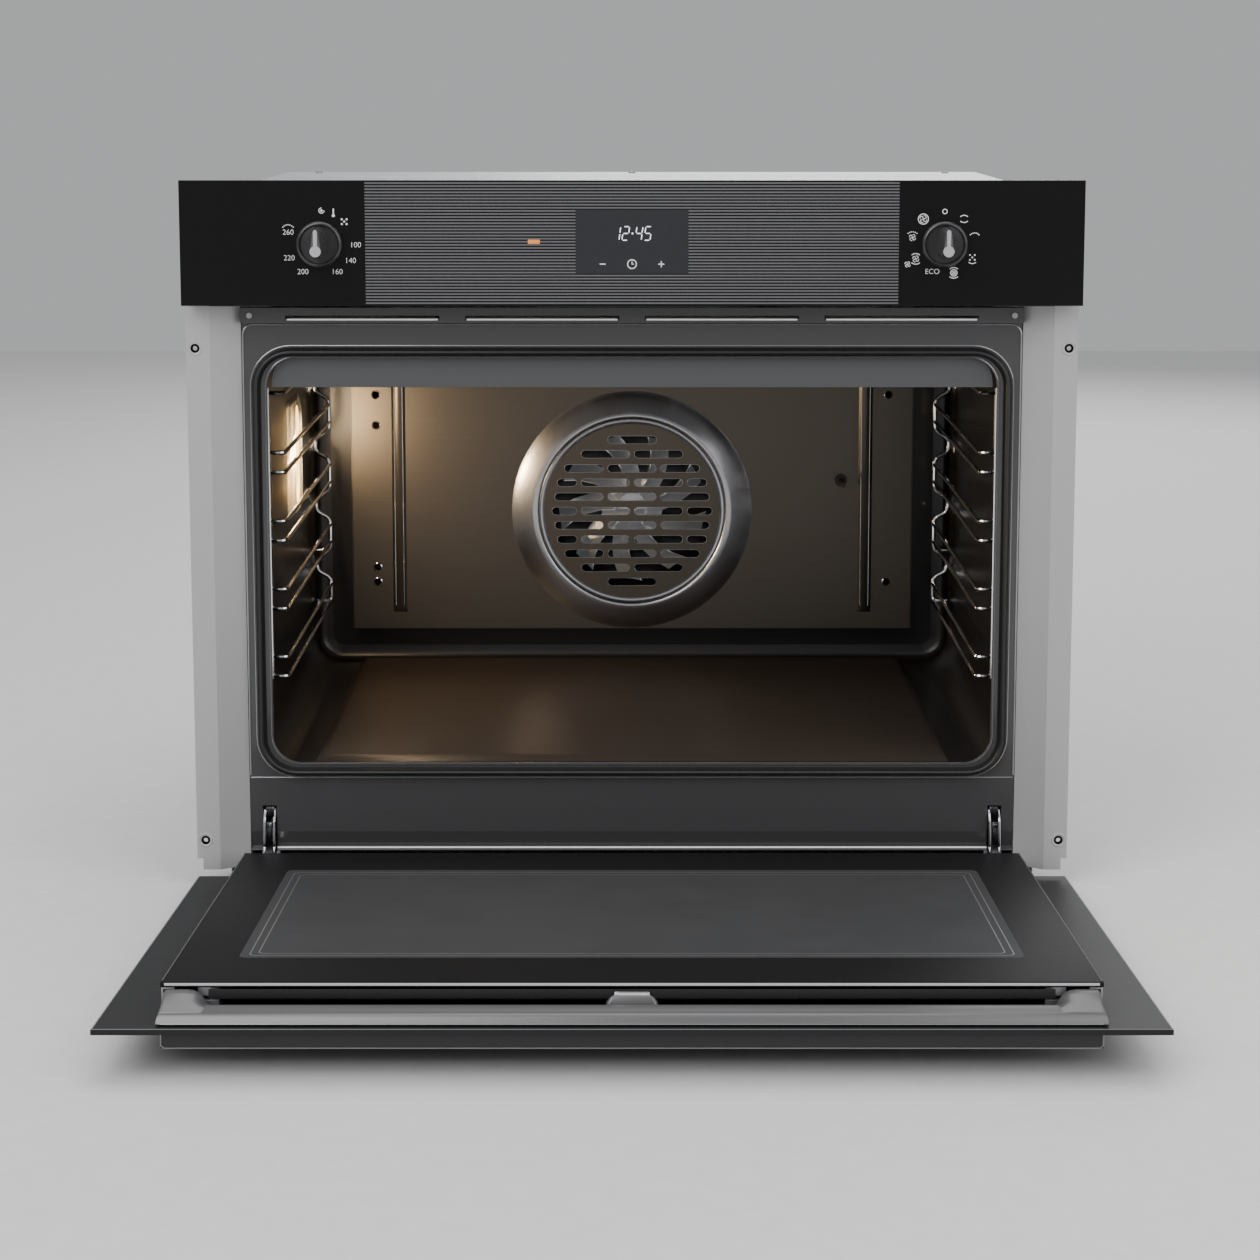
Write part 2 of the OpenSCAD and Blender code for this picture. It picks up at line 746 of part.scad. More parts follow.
module temperature_probe() {
  color(bright) union() {
    rod_y(probe_x, cover_d - probe_l, probe_z, probe_r, probe_l);
    rod_y(probe_x, cover_d - 3, probe_z, 6, 3);
  }
}

module lamp_housing() {
  x1 = -outer_half;
  x0 = x1 - lamp_case_t;
  t = lamp_wall;
  color(steel) difference() {
    slab(x0, x1, lamp_d - lamp_w / 2, lamp_d + lamp_w / 2, lamp_z - lamp_h / 2, lamp_z + lamp_h / 2);
    slab(x0 + t, x1 + 1, lamp_d - lamp_w / 2 + t, lamp_d + lamp_w / 2 - t,
      lamp_z - lamp_h / 2 + t, lamp_z + lamp_h / 2 - t);
  }
}

module lamp_bulb() {
  x = -outer_half - lamp_socket_r - 0.2;
  foot = lamp_z - lamp_h / 2 + lamp_wall;
  socket_l = lamp_h / 2 - 27;
  bulb_l = 40;
  color([1, 0.9, 0.7]) union() {
    rod_z(x, lamp_d, foot, lamp_socket_r, socket_l);
    rod_z(x, lamp_d, foot + socket_l, lamp_bulb_r, bulb_l);
    translate([x, front_y + lamp_d, foot + socket_l + bulb_l]) sphere(r = lamp_bulb_r, $fn = 24);
  }
}

module lamp_lens() {
  x = -cavity_half;
  rim = 5;
  color([0.95, 0.9, 0.75]) difference() {
    slab(x, x + lamp_lens_t, lamp_d - lamp_w / 2, lamp_d + lamp_w / 2,
      lamp_z - lamp_h / 2, lamp_z + lamp_h / 2);
    slab(x - 1, x + lamp_lens_t - 2, lamp_d - lamp_w / 2 + rim, lamp_d + lamp_w / 2 - rim,
      lamp_z - lamp_h / 2 + rim, lamp_z + lamp_h / 2 - rim);
  }
}

module insulation_wrap() {
  g = wool_gap;
  color([0.85, 0.83, 0.75]) difference() {
    slab(-wool_half, wool_half, 70, back_wall_d - 4, wool_z0, wool_z1);
    round_block(outer_half + g, wrap_z0 - g, wrap_z1 + g, cavity_r, 69, back_wall_d);
    slab(-300, 300, 69, back_wall_d, wool_z0 + 12, wrap_z0);
    slab(-wool_half - 1, -outer_half, lamp_d - lamp_w / 2 - 2, lamp_d + lamp_w / 2 + 2,
      lamp_z - lamp_h / 2 - 2, lamp_z + lamp_h / 2 + 2);
    rod_z(chimney_x, chimney_d, wrap_z1 - 1, chimney_flange_r + 1, 60);
  }
}

module insulation_rear() {
  d0 = wool_rear_d + 0.4;
  color([0.85, 0.83, 0.75]) difference() {
    slab(-wool_half, wool_half, d0, d0 + wool_rear_t, wool_z0, wool_z1);
    rod_y(0, d0 - 1, fan_z, motor_hole_r, wool_rear_t + 2);
    for (x = [-12, 12]) rod_y(x, d0 - 1, fan_z + heater_r, tube_r + 2, wool_rear_t + 2);
    for (x = [-60, 60]) slab(x - 8, x + 8, d0 - 1, d0 + wool_rear_t + 1, wrap_z0 - 14, wrap_z0 + 2);
  }
}

module fan_motor() {
  d = motor_d;
  color(steel) difference() {
    union() {
      rod_y(0, d, fan_z, motor_r, motor_l);
      slab(-70, 70, d + motor_l - 4, d + motor_l, fan_z - 9, fan_z + 9);
      for (x = [-62, 62]) rod_y(x, wool_rear_d + wool_rear_t + 0.4, fan_z, 4,
        d + motor_l - 4 - wool_rear_d - wool_rear_t - 0.4);
    }
    rod_y(0, d - 1, fan_z, fan_shaft_r + 1, motor_l - 4);
  }
}

module convection_fan() {
  color(bright) union() {
    rod_y(0, fan_back_d - 1.5, fan_z, fan_r, 1.5);
    rod_y(0, fan_back_d - fan_blade_d, fan_z, fan_hub_r, fan_blade_d - 1);
    rod_y(0, fan_back_d - fan_blade_d, fan_z, fan_shaft_r, motor_d + 22 - fan_back_d + fan_blade_d);
    for (i = [0 : fan_blades - 1]) translate([0, front_y + fan_back_d - 1.5, fan_z])
      rotate([90, i * 360 / fan_blades, 0]) translate([30, -0.8, 0]) rotate([0, 0, 24])
        cube([fan_r - 34, 1.6, fan_blade_d - 1.5]);
  }
}

module cooling_duct() {
  x = duct_w / 2;
  t = duct_t;
  d1 = drum_d + drum_r + fan_gap + 1;
  color(steel) difference() {
    union() {
      slab(-x, x, 90, d1 + t, duct_z0, duct_z0 + t);
      for (s = [-1, 1]) slab(s * (x - t / 2) - t / 2, s * (x - t / 2) + t / 2, 90, d1 + t, duct_z0, duct_z1);
      slab(-x, x, d1, d1 + t, duct_z0, drum_z + 4);
      slab(-x, x, 90, drum_d - drum_r - fan_gap, duct_mouth_z + duct_z0, duct_mouth_z + duct_z0 + t);
      slab(-return_x + 4, return_x - 4, 54, 90, duct_z0, duct_z0 + t);
      slab(-return_x + 4, return_x - 4, 54, 90, duct_mouth_z + duct_z0, duct_mouth_z + duct_z0 + t);
    }
    rod_x(-x - 2, drum_d, drum_z, 16, 2 * x + 4);
  }
}

module cooling_fan_drum() {
  x = drum_l / 2;
  color(steel) union() {
    for (p = [-x, 0, x - 1]) rod_x(p, drum_d, drum_z, drum_r, 1);
    for (i = [0 : drum_vanes - 1]) translate([-x + 0.5, front_y + drum_d, drum_z])
      rotate([i * 360 / drum_vanes, 0, 0]) translate([0, drum_r - 6, 0]) rotate([35, 0, 0])
        translate([0, 0, -0.4]) cube([2 * x - 1, 5.5, 0.8]);
    rod_x(-x - 20, drum_d, drum_z, 3, 2 * x + 34);
  }
}

module cooling_fan_motor() {
  x = duct_w / 2 + 6;
  color(steel) union() {
    difference() {
      union() {
        rod_x(x, drum_d, drum_z, 22, 34);
        slab(x + 4, x + 30, drum_d - 26, drum_d + 26, duct_z0, drum_z - 6);
      }
      rod_x(x - 1, drum_d, drum_z, 5, 20);
    }
    difference() {
      slab(-x - 22, -x - 18, drum_d - 12, drum_d + 12, duct_z0, drum_z + 12);
      rod_x(-x - 24, drum_d, drum_z, 5, 10);
    }
  }
}

module steam_chimney() {
  color(steel) difference() {
    union() {
      rod_z(chimney_x, chimney_d, wrap_z1, chimney_r, chimney_l);
      rod_z(chimney_x, chimney_d, wrap_z1, chimney_flange_r, 1.4);
    }
    rod_z(chimney_x, chimney_d, wrap_z1 - 1, chimney_r - 1.4, chimney_l + 2);
  }
}

module panel_carrier() {
  x = half_front - 4;
  z0 = panel_z0 + 0.8;
  z1 = front_top_z - 3;
  g = panel_glass_t;
  color([0.3, 0.3, 0.31]) difference() {
    union() {
      slab(-x, x, g, carrier_d, z0, z1);
      for (s = [-1, 1]) slab(s * 329 - 26, s * 329 + 26, g, carrier_d, z0 - 1.6, z0);
    }
    slab(-x + 4, x - 4, g + 3, carrier_d + 1, z0 + 1.4, z1 - 4);
    slab(-300, 300, g + 6, carrier_d - 3, z0 - 1, z0 + 2);
    for (s = [-1, 1]) rod_y(s * knob_x, g - 1, control_z, 8, 6);
    slab(-display_w / 2 - 1, display_w / 2 + 1, g - 1, g + 4,
      display_z - display_h / 2 - 1, display_z + display_h / 2 + 1);
    rod_y(-indicator_x, g - 1, display_z, 6, 6);
  }
}

module control_panel_glass() {
  g = panel_glass_t;
  color(black) difference() {
    slab(-half_front, half_front, 0, g, panel_z0, front_top_z);
    for (s = [-1, 1]) rod_y(s * knob_x, -1, control_z, knob_shaft_r + 2, g + 2);
    slab(-display_w / 2, display_w / 2, -1, display_t, display_z - display_h / 2, display_z + display_h / 2);
    slab(-indicator_x - indicator_w / 2, -indicator_x + indicator_w / 2, -1, 2,
      display_z - indicator_h / 2, display_z + indicator_h / 2);
  }
}

module display_window() {
  color([0.18, 0.18, 0.19])
    slab(-display_w / 2, display_w / 2, 0, display_t, display_z - display_h / 2, display_z + display_h / 2);
}

module display_board() {
  g = panel_glass_t;
  color([0.1, 0.3, 0.15]) union() {
    slab(-70, 70, g + 8, g + 9.6, control_z - 32, control_z + 34);
    slab(-42, 42, g + 4.2, g + 8, control_z - 14, control_z + 18);
    for (x = [-50, -20, 30]) slab(x, x + 14, g + 9.6, g + 24, control_z - 24, control_z - 6);
  }
}

module indicator_lens() {
  color([1, 0.45, 0.1])
    slab(-indicator_x - indicator_w / 2, -indicator_x + indicator_w / 2, 0, 2,
      display_z - indicator_h / 2, display_z + indicator_h / 2);
}

module switch_shape(x) {
  g = panel_glass_t;
  difference() {
    union() {
      slab(x - 21, x + 21, g + 3, g + 27, control_z - 22, control_z + 22);
      for (i = [-1, 0, 1])
        slab(x + i * 12 - 3, x + i * 12 + 3, g + 27, g + 34, control_z - 16, control_z - 15);
    }
    rod_y(x, g + 2, control_z, knob_shaft_r + 0.6, 20);
  }
}

module thermostat_body() {
  color(steel) switch_shape(-knob_x);
}

module selector_body() {
  color([0.75, 0.72, 0.65]) switch_shape(knob_x);
}

// Control knob drawn on its own axis, with the free end towards the user
module knob_shape() {
  d0 = -knob_gap;
  r = knob_grip_w / 2;
  reach = knob_dish_r - 0.6 - r;
  union() {
    difference() {
      rod_y(0, -knob_skirt_h, 0, knob_r, knob_skirt_h + d0);
      rod_y(0, -knob_skirt_h - 1, 0, knob_dish_r, knob_dish_t + 1);
    }
    slab(-r, r, -knob_grip_h, d0 - 3, -reach, reach);
    for (z = [-reach, reach]) rod_y(0, -knob_grip_h, z, r, knob_grip_h + d0 - 3);
    rod_y(0, d0 - 4, 0, knob_shaft_r, panel_glass_t + 4 - d0 + 16);
  }
}

module pointer_shape() {
  t = pointer_t;
  h = -knob_grip_h - t;
  union() {
    rod_y(0, h, -4, pointer_r, t);
    slab(-pointer_w / 2, pointer_w / 2, h, h + t, -4, knob_dish_r - 2);
  }
}

module temperature_knob() {
  color(black) translate([-knob_x, 0, control_z]) knob_shape();
}

module temperature_pointer() {
  color(bright) translate([-knob_x, 0, control_z]) pointer_shape();
}

module function_knob() {
  color(black) translate([knob_x, 0, control_z]) knob_shape();
}

module function_pointer() {
  color(bright) translate([knob_x, 0, control_z]) pointer_shape();
}

// Side plates of a hinge arm with a web between them
module hinge_arm_shape() {
  w = hinge_w / 2;
  t = hinge_wall;
  difference() {
    union() {
      for (x = [-w, w - t]) translate([hinge_x + x, front_y, 0]) rotate([90, 0, 90]) linear_extrude(t)
        polygon([
          [pivot_d - 6, pivot_z + 4], [pivot_d - 2, pivot_z + 7.5], [pivot_d + 5, pivot_z + 8],
          [pivot_d + 14.6, pivot_z + 11.4], [pivot_d + 17, pivot_z + 34], [pivot_d + 26, hinge_slot_z - 2],
          [pivot_d + 60, hinge_slot_z - 2], [pivot_d + 60, pivot_z + 22], [pivot_d + 24, pivot_z + 4],
          [pivot_d + 16, pivot_z - 4], [pivot_d + 4, pivot_z - 6], [pivot_d - 6, pivot_z - 4]
        ]);
      slab(hinge_x - w, hinge_x + w, pivot_d + 26, pivot_d + 60, hinge_slot_z - 4, hinge_slot_z - 2);
      slab(hinge_x - w, hinge_x + w, pivot_d + 58, pivot_d + 60, pivot_z + 22, hinge_slot_z - 2);
    }
    rod_x(hinge_x - w - 1, pivot_d, pivot_z, hinge_pin_r + 0.4, 2 * w + 2);
  }
}

// Bracket that takes the hook of a hinge arm behind the front panel
module hinge_mount_shape() {
  m = mount_half;
  t = mount_t;
  for (x = [hinge_x - m, hinge_x + m - t]) slab(x, x + t, mount_d, mount_d + 32, sheet_t, hinge_slot_z + 2);
  slab(hinge_x - m, hinge_x + m, mount_d + 32, mount_d + 32 + t, sheet_t, hinge_slot_z + 2);
}

module hinge_arm_left() {
  color(bright) mirror([1, 0, 0]) union() {
    hinge_arm_shape();
    hinge_mount_shape();
  }
}

module hinge_arm_right() {
  color(bright) union() {
    hinge_arm_shape();
    hinge_mount_shape();
  }
}

module terminal_block() {
  w = terminal_w / 2;
  d1 = back_d;
  x = gland_x - 60;
  color([0.85, 0.85, 0.82]) union() {
    slab(x - w, x + w, d1 - 16, d1, gland_z - 14, gland_z + 14);
    for (i = [-1, 0, 1]) translate([x + i * 18, front_y + d1 - 20, gland_z]) rotate([-90, 0, 0])
      cylinder(r = 4, h = 4, $fn = 24);
  }
}

module cord_gland() {
  d = back_d + sheet_t;
  color(black) difference() {
    union() {
      rod_y(gland_x, d, gland_z, gland_r + 6, 6);
      rod_y(gland_x, back_d - 10, gland_z, gland_r - 0.3, 12 + sheet_t);
    }
    rod_y(gland_x, back_d - 12, gland_z, gland_r - 3.5, 24 + sheet_t);
  }
}

module body_screws() {
  d = back_d + sheet_t;
  color(bright) union() {
    for (x = [-330, -110, 110, 330]) rod_y(x, d, body_h - 14, screw_r, 1.8);
    for (x = [-330, 330]) for (z = [40, 200, 400]) rod_y(x, d, z, screw_r, 1.8);
    for (x = [-320, 0, 320]) for (q = [120, 540])
      rod_z(x, q, body_h + sheet_t, screw_r, 1.8);
    for (x = [-325, 325]) rod_y(x, plate_d - 9.6, plate_z1 + 7, 2.4, 1.6);
  }
}

module door_outer_glass() {
  color([0.1, 0.1, 0.11]) door_place()
    door_slab(-half_front, half_front, -door_glass_drop, door_glass_top, glass_v0, glass_v1);
}

module door_middle_glass() {
  color([0.3, 0.32, 0.34, 0.5]) door_place() union() {
    door_slab(-middle_half, middle_half, 30, inner_glass_u1 - 6, -2, 1);
  }
}

module door_inner_glass() {
  color([0.08, 0.08, 0.09]) door_place()
    door_slab(-door_half, door_half, inner_glass_u0, inner_glass_u1, -inner_glass_v, inner_v1);
}

module door_rails() {
  x = door_half - 1;
  color(steel) door_place() union() {
    for (s = [-1, 1]) {
      door_slab(min(s * (x - 1.5), s * x), max(s * (x - 1.5), s * x),
        inner_glass_u0, inner_glass_u1, rail_v0, glass_v0);
      door_slab(min(s * case_x1, s * (x - 1.5)), max(s * case_x1, s * (x - 1.5)),
        inner_glass_u0 + 30, inner_glass_u1, rail_v0, rail_v0 + 1.2);
      door_slab(min(s * case_x1, s * (x - 1.5)), max(s * case_x1, s * (x - 1.5)),
        inner_glass_u0 + 30, inner_glass_u1, glass_v0 - 1.2, glass_v0);
      door_slab(min(s * (middle_half - 12), s * case_x0), max(s * (middle_half - 12), s * case_x0),
        inner_glass_u0 + 16, inner_glass_u1 - 4, rail_v0, -2);
      door_slab(min(s * (middle_half - 12), s * case_x0), max(s * (middle_half - 12), s * case_x0),
        inner_glass_u0 + 16, inner_glass_u1 - 4, 1, glass_v0);
    }
    door_slab(-case_x0, case_x0, inner_glass_u0 + 2, inner_glass_u0 + 4, rail_v0, glass_v0);
    door_slab(-case_x0, case_x0, inner_glass_u0 + 4, inner_glass_u0 + 15.5, glass_v0 - 1.2, glass_v0);
  }
}

module door_ledge() {
  x = door_half - 0.8;
  c = x - ledge_end_w;
  u0 = inner_glass_u1;
  u1 = ledge_u1;
  f = ledge_floor_v;
  color(frame_grey) door_place() union() {
    translate([-x, 0, 0]) rotate([90, 0, 90]) linear_extrude(2 * x)
      polygon([
        [-glass_v0, u0], [-rail_v0, u0], [-rail_v0, u0 + 1.2], [-f, u0 + 1.2], [-f, u1 - 18.5],
        [ledge_crest_v - 0.8, u1 - 18], [ledge_crest_v, u1 - 16], [ledge_crest_v - 1.4, u1 - 12],
        [-3.1, u1 - 4], [-9.6, u1 - 0.4], [-10.2, u1], [-10.6, u1 - 1.5], [-10.6, u1 - 6], [-glass_v0, u1 - 6]
      ]);
    for (s = [-1, 1]) translate([min(s * c, s * x), 0, 0]) rotate([90, 0, 90]) linear_extrude(ledge_end_w)
      polygon([
        [-f - 1, u0 + 1], [-rail_v0 - 0.6, u0 + 1], [-rail_v0 - 1, u0 + 5], [-rail_v0 - 4, u0 + 10],
        [ledge_crest_v + 0.8, u0 + 14], [0, u1 - 9], [-f - 1, u1 - 9]
      ]);
  }
}

module lock_catch() {
  w = catch_w / 2;
  r = catch_r;
  mid_u = inner_glass_u1 + 1.6 + r;
  color(frame_grey) door_place() union() {
    door_slab(-w + r, w - r, mid_u - r, mid_u + r, -catch_v, ledge_floor_v);
    for (s = [-1, 1]) translate([s * (w - r), -ledge_floor_v, mid_u]) rotate([-90, 0, 0])
      cylinder(r = r, h = ledge_floor_v + catch_v, $fn = 32);
    door_slab(-12.5, 12.5, mid_u - 2.6, mid_u, -catch_v - 1, -catch_v);
  }
}

module handle_bar() {
  h = handle_h / 2;
  v0 = handle_v0;
  v1 = handle_v0 + handle_t;
  color([0.2, 0.2, 0.21]) door_place() union() {
    door_slab(-handle_w / 2, handle_w / 2, handle_u - h, handle_u + h, v0, v1);
    for (s = [-1, 1]) translate([s * handle_post_x, -v0, handle_u]) rotate([-90, 0, 0])
      cylinder(r = handle_post_r, h = handle_gap, $fn = 32);
  }
}

// Hinge housing in the door: two side plates, a lid and the pivot pin
module hinge_case_shape() {
  l = hinge_case_l;
  t = hinge_wall;
  u0 = inner_glass_u0 + 1;
  plate_v = rod_head_r + 0.7;
  union() {
    for (x = [case_x0, case_x1 - t]) door_slab(x, x + t, -6, u0, -5, glass_v0);
    for (x = [case_x0, case_x1 - t]) door_slab(x, x + t, u0, l, rail_v0 + 0.3, glass_v0);
    door_slab(case_x0, case_x1, 40, l, glass_v0 - t, glass_v0);
    door_slab(case_x0, case_x1, l - t, l, plate_v, glass_v0);
    door_slab(case_x0, case_x1, rod_u0 - 6 - t, rod_u0 - 6, plate_v, glass_v0);
    translate([case_x0, 0, 0]) rotate([0, 90, 0]) cylinder(r = hinge_pin_r, h = case_x1 - case_x0);
  }
}

module hinge_case_left() {
  color(bright) door_place() mirror([1, 0, 0]) hinge_case_shape();
}

module hinge_case_right() {
  color(bright) door_place() hinge_case_shape();
}

module tension_rods() {
  color(steel) door_place() for (s = [-1, 1]) translate([s * hinge_x, 0, 0]) union() {
    translate([0, 0, rod_u0]) cylinder(r = rod_r, h = rod_l);
    translate([0, 0, rod_u0 - 3]) cylinder(r = rod_head_r, h = 3);
    translate([0, 0, rod_u0 + rod_l]) cylinder(r = rod_head_r, h = 3);
  }
}

base_plate();
side_panel_left();
side_panel_right();
rear_cover();
top_cover();
side_frame_left();
side_frame_right();
vent_plate();
cavity_wrapper();
cavity_back_wall();
cavity_front_plate();
lower_front_panel();
door_seal();
cavity_lip();
fan_cover_panel();
ring_heater();
grill_element();
bottom_element();
side_rack_left();
side_rack_right();
rack_pins();
cover_screws();
temperature_probe();
lamp_housing();
lamp_bulb();
lamp_lens();
insulation_wrap();
insulation_rear();
fan_motor();
convection_fan();
cooling_duct();
cooling_fan_drum();
cooling_fan_motor();
steam_chimney();
panel_carrier();
control_panel_glass();
display_window();
display_board();
indicator_lens();
thermostat_body();
selector_body();
temperature_knob();
temperature_pointer();
function_knob();
function_pointer();
hinge_arm_left();
hinge_arm_right();
terminal_block();
cord_gland();
body_screws();
door_outer_glass();
door_middle_glass();
door_inner_glass();
door_rails();
door_ledge();
lock_catch();
handle_bar();
hinge_case_left();
hinge_case_right();
tension_rods();
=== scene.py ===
"""Looks of a built-in wall oven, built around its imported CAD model."""

import json
import logging
import math
from collections.abc import Iterable, Sequence
from dataclasses import dataclass, field
from enum import Enum

import bmesh
import bpy
from mathutils import Matrix, Vector
from mathutils.geometry import tessellate_polygon


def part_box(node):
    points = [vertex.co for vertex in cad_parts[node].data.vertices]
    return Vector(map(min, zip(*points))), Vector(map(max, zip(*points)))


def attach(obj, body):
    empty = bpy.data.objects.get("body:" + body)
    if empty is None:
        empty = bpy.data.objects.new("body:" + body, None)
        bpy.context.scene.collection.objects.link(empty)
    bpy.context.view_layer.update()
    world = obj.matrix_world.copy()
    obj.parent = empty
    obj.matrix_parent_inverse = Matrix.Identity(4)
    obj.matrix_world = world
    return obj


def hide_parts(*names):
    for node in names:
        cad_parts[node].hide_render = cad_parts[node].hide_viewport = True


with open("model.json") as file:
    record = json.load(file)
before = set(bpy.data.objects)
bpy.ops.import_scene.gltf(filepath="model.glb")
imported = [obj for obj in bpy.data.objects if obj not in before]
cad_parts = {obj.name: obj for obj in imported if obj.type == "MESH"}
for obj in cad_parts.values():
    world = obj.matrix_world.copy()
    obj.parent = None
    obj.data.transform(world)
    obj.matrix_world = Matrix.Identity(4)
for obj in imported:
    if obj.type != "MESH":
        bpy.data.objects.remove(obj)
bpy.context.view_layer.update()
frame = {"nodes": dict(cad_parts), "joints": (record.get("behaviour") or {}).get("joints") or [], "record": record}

log = logging.getLogger("wall_oven")

MM = 0.001
TURN = 2 * math.pi

Point = tuple[float, float]
Colour = tuple[float, float, float]


def low(node: str) -> Vector:
    """Lowest corner of a CAD node."""
    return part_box(node)[0]


def high(node: str) -> Vector:
    """Highest corner of a CAD node."""
    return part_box(node)[1]


FRONT_Y = low("control_panel_glass").y


class Value:
    """A shader socket that can be used in sums."""

    def __init__(self, tree: bpy.types.NodeTree, socket: bpy.types.NodeSocket) -> None:
        """Keeps the socket and the tree it is in.

        Args:
            tree: the node tree.
            socket: the output socket.
        """
        self.tree = tree
        self.socket = socket

    def sum_of(self, operation: str, first: object, second: object) -> "Value":
        """Adds one Math node.

        Args:
            operation: the Math node's operation.
            first: a Value or a number.
            second: a Value or a number.

        Returns:
            The node's result.
        """
        node = self.tree.nodes.new("ShaderNodeMath")
        node.operation = operation
        for socket, item in zip(node.inputs, (first, second)):
            if isinstance(item, Value):
                self.tree.links.new(item.socket, socket)
            else:
                socket.default_value = item
        return Value(self.tree, node.outputs[0])

    def __add__(self, other: object) -> "Value":
        """This plus other."""
        return self.sum_of("ADD", self, other)

    __radd__ = __add__

    def __mul__(self, other: object) -> "Value":
        """This times other."""
        return self.sum_of("MULTIPLY", self, other)

    __rmul__ = __mul__

    def __sub__(self, other: object) -> "Value":
        """This minus other."""
        return self.sum_of("SUBTRACT", self, other)

    def __rsub__(self, other: object) -> "Value":
        """Other minus this."""
        return self.sum_of("SUBTRACT", other, self)


class Sheet:
    """A material's node tree while it is being built."""

    def __init__(self, name: str) -> None:
        """Starts an empty material.

        Args:
            name: the material's name.
        """
        self.material = bpy.data.materials.new(name)
        self.material.use_nodes = True
        self.tree = self.material.node_tree
        self.tree.nodes.clear()

    def node(self, kind: str, settings: dict | None = None, inputs: dict | None = None) -> bpy.types.Node:
        """Adds a node.

        Args:
            kind: the node's type.
            settings: its properties.
            inputs: values, Values or sockets by input name or number.

        Returns:
            The node.
        """
        node = self.tree.nodes.new(kind)
        for key, value in (settings or {}).items():
            setattr(node, key, value)
        for key, value in (inputs or {}).items():
            if isinstance(value, Value):
                self.tree.links.new(value.socket, node.inputs[key])
            elif isinstance(value, bpy.types.NodeSocket):
                self.tree.links.new(value, node.inputs[key])
            else:
                node.inputs[key].default_value = value
        return node

    def value(self, node: bpy.types.Node, output: str | int = 0) -> Value:
        """An output of a node as a Value."""
        return Value(self.tree, node.outputs[output])


class Grain(Enum):
    """How a finish varies over its surface."""

    EVEN = "even"
    ACROSS = "brushed across"
    UPRIGHT = "brushed upright"
    FIBRE = "fibre"
    CAST = "cast"


@dataclass(frozen=True)
class Finish:
    """A surface finish with a fine grain of its own."""

    name: str
    colour: Colour
    roughness: float
    metallic: float = 0.0
    coat: float = 0.0
    specular: float = 0.5
    transmission: float = 0.0
    glow: Colour | None = None
    glow_strength: float = 0.0
    grain: Grain = Grain.EVEN
    grain_size: float = 60.0
    colour_swing: float = 0.06
    roughness_swing: float = 0.08
    bump: float = 0.0

    def stretch(self) -> tuple[float, float, float]:
        """How the grain is stretched.

        Returns:
            The scale along each of the three axes.
        """
        return {
            Grain.ACROSS: (0.02, 1.0, 1.0),
            Grain.UPRIGHT: (1.0, 1.0, 0.02),
            Grain.FIBRE: (1.0, 1.0, 0.3),
        }.get(self.grain, (1.0, 1.0, 1.0))

    def material(self) -> bpy.types.Material:
        """The Blender material, built at the first use.

        Returns:
            The material with this finish's name.
        """
        if self.name in bpy.data.materials:
            return bpy.data.materials[self.name]
        sheet = Sheet(self.name)
        place = sheet.node("ShaderNodeTexCoord")
        turned = sheet.node(
            "ShaderNodeMapping", inputs={"Vector": place.outputs["Object"], "Scale": self.stretch()}
        )
        noise = sheet.node(
            "ShaderNodeTexNoise",
            inputs={"Vector": turned.outputs[0], "Scale": self.grain_size / MM / 20, "Detail": 3.0},
        )
        level = sheet.value(noise, "Fac")
        dark = tuple(c * (1 - self.colour_swing) for c in self.colour)
        light = tuple(min(1.0, c * (1 + self.colour_swing)) for c in self.colour)
        tint = sheet.node(
            "ShaderNodeMix",
            {"data_type": "RGBA"},
            {"Factor": level, 6: (*dark, 1.0), 7: (*light, 1.0)},
        )
        swing = self.roughness * self.roughness_swing
        inputs: dict = {
            "Base Color": tint.outputs[2],
            "Roughness": level * (2 * swing) + (self.roughness - swing),
            "Metallic": self.metallic,
            "Coat Weight": self.coat,
            "Coat Roughness": 0.03,
            "Specular IOR Level": self.specular,
            "Transmission Weight": self.transmission,
        }
        if self.bump:
            relief = sheet.node(
                "ShaderNodeBump", inputs={"Strength": self.bump, "Distance": 0.2 * MM, "Height": level}
            )
            inputs["Normal"] = relief.outputs[0]
        if self.glow:
            inputs["Emission Color"] = (*self.glow, 1.0)
            inputs["Emission Strength"] = self.glow_strength
        shader = sheet.node("ShaderNodeBsdfPrincipled", inputs=inputs)
        sheet.node("ShaderNodeOutputMaterial", inputs={"Surface": shader.outputs[0]})
        return sheet.material


BLACK_GLASS = Finish("black_panel_glass", (0.006, 0.006, 0.0065), 0.14, specular=0.2, grain_size=2)
DISPLAY_GLASS = Finish("display_glass", (0.027, 0.028, 0.031), 0.16, specular=0.35, grain_size=2)
STRIPE_INK = Finish("stripe_ink", (0.115, 0.115, 0.12), 0.42, specular=0.3)
# White print ink with a faint glow added: painted brightness, the print is not lit.
GLOWING_WHITE_INK = Finish(
    "white_ink_painted_glow", (0.70, 0.70, 0.71), 0.5, specular=0.2, glow=(0.7, 0.7, 0.72), glow_strength=0.3
)
LIT_DIGITS = Finish("lit_digits", (0.9, 0.93, 0.95), 0.4, glow=(0.85, 0.93, 1.0), glow_strength=1.3)
ORANGE_LIGHT = Finish("orange_light", (0.75, 0.25, 0.05), 0.35, glow=(1.0, 0.3, 0.05), glow_strength=0.3)
KNOB_BLACK = Finish("knob_black", (0.022, 0.022, 0.023), 0.28, coat=0.3, grain=Grain.CAST, bump=0.02)
KNOB_FACE = Finish("knob_face_grey", (0.15, 0.15, 0.155), 0.27, metallic=0.75, grain=Grain.CAST)
POINTER_GREY = Finish("pointer_grey", (0.50, 0.50, 0.51), 0.35, metallic=0.5)
FRAME_GREY = Finish("frame_grey_paint", (0.42, 0.42, 0.42), 0.42, metallic=0.15, bump=0.03, grain_size=30)
GALVANISED = Finish(
    "galvanised_sheet", (0.50, 0.51, 0.52), 0.42, metallic=0.85, grain_size=1.2, colour_swing=0.14
)
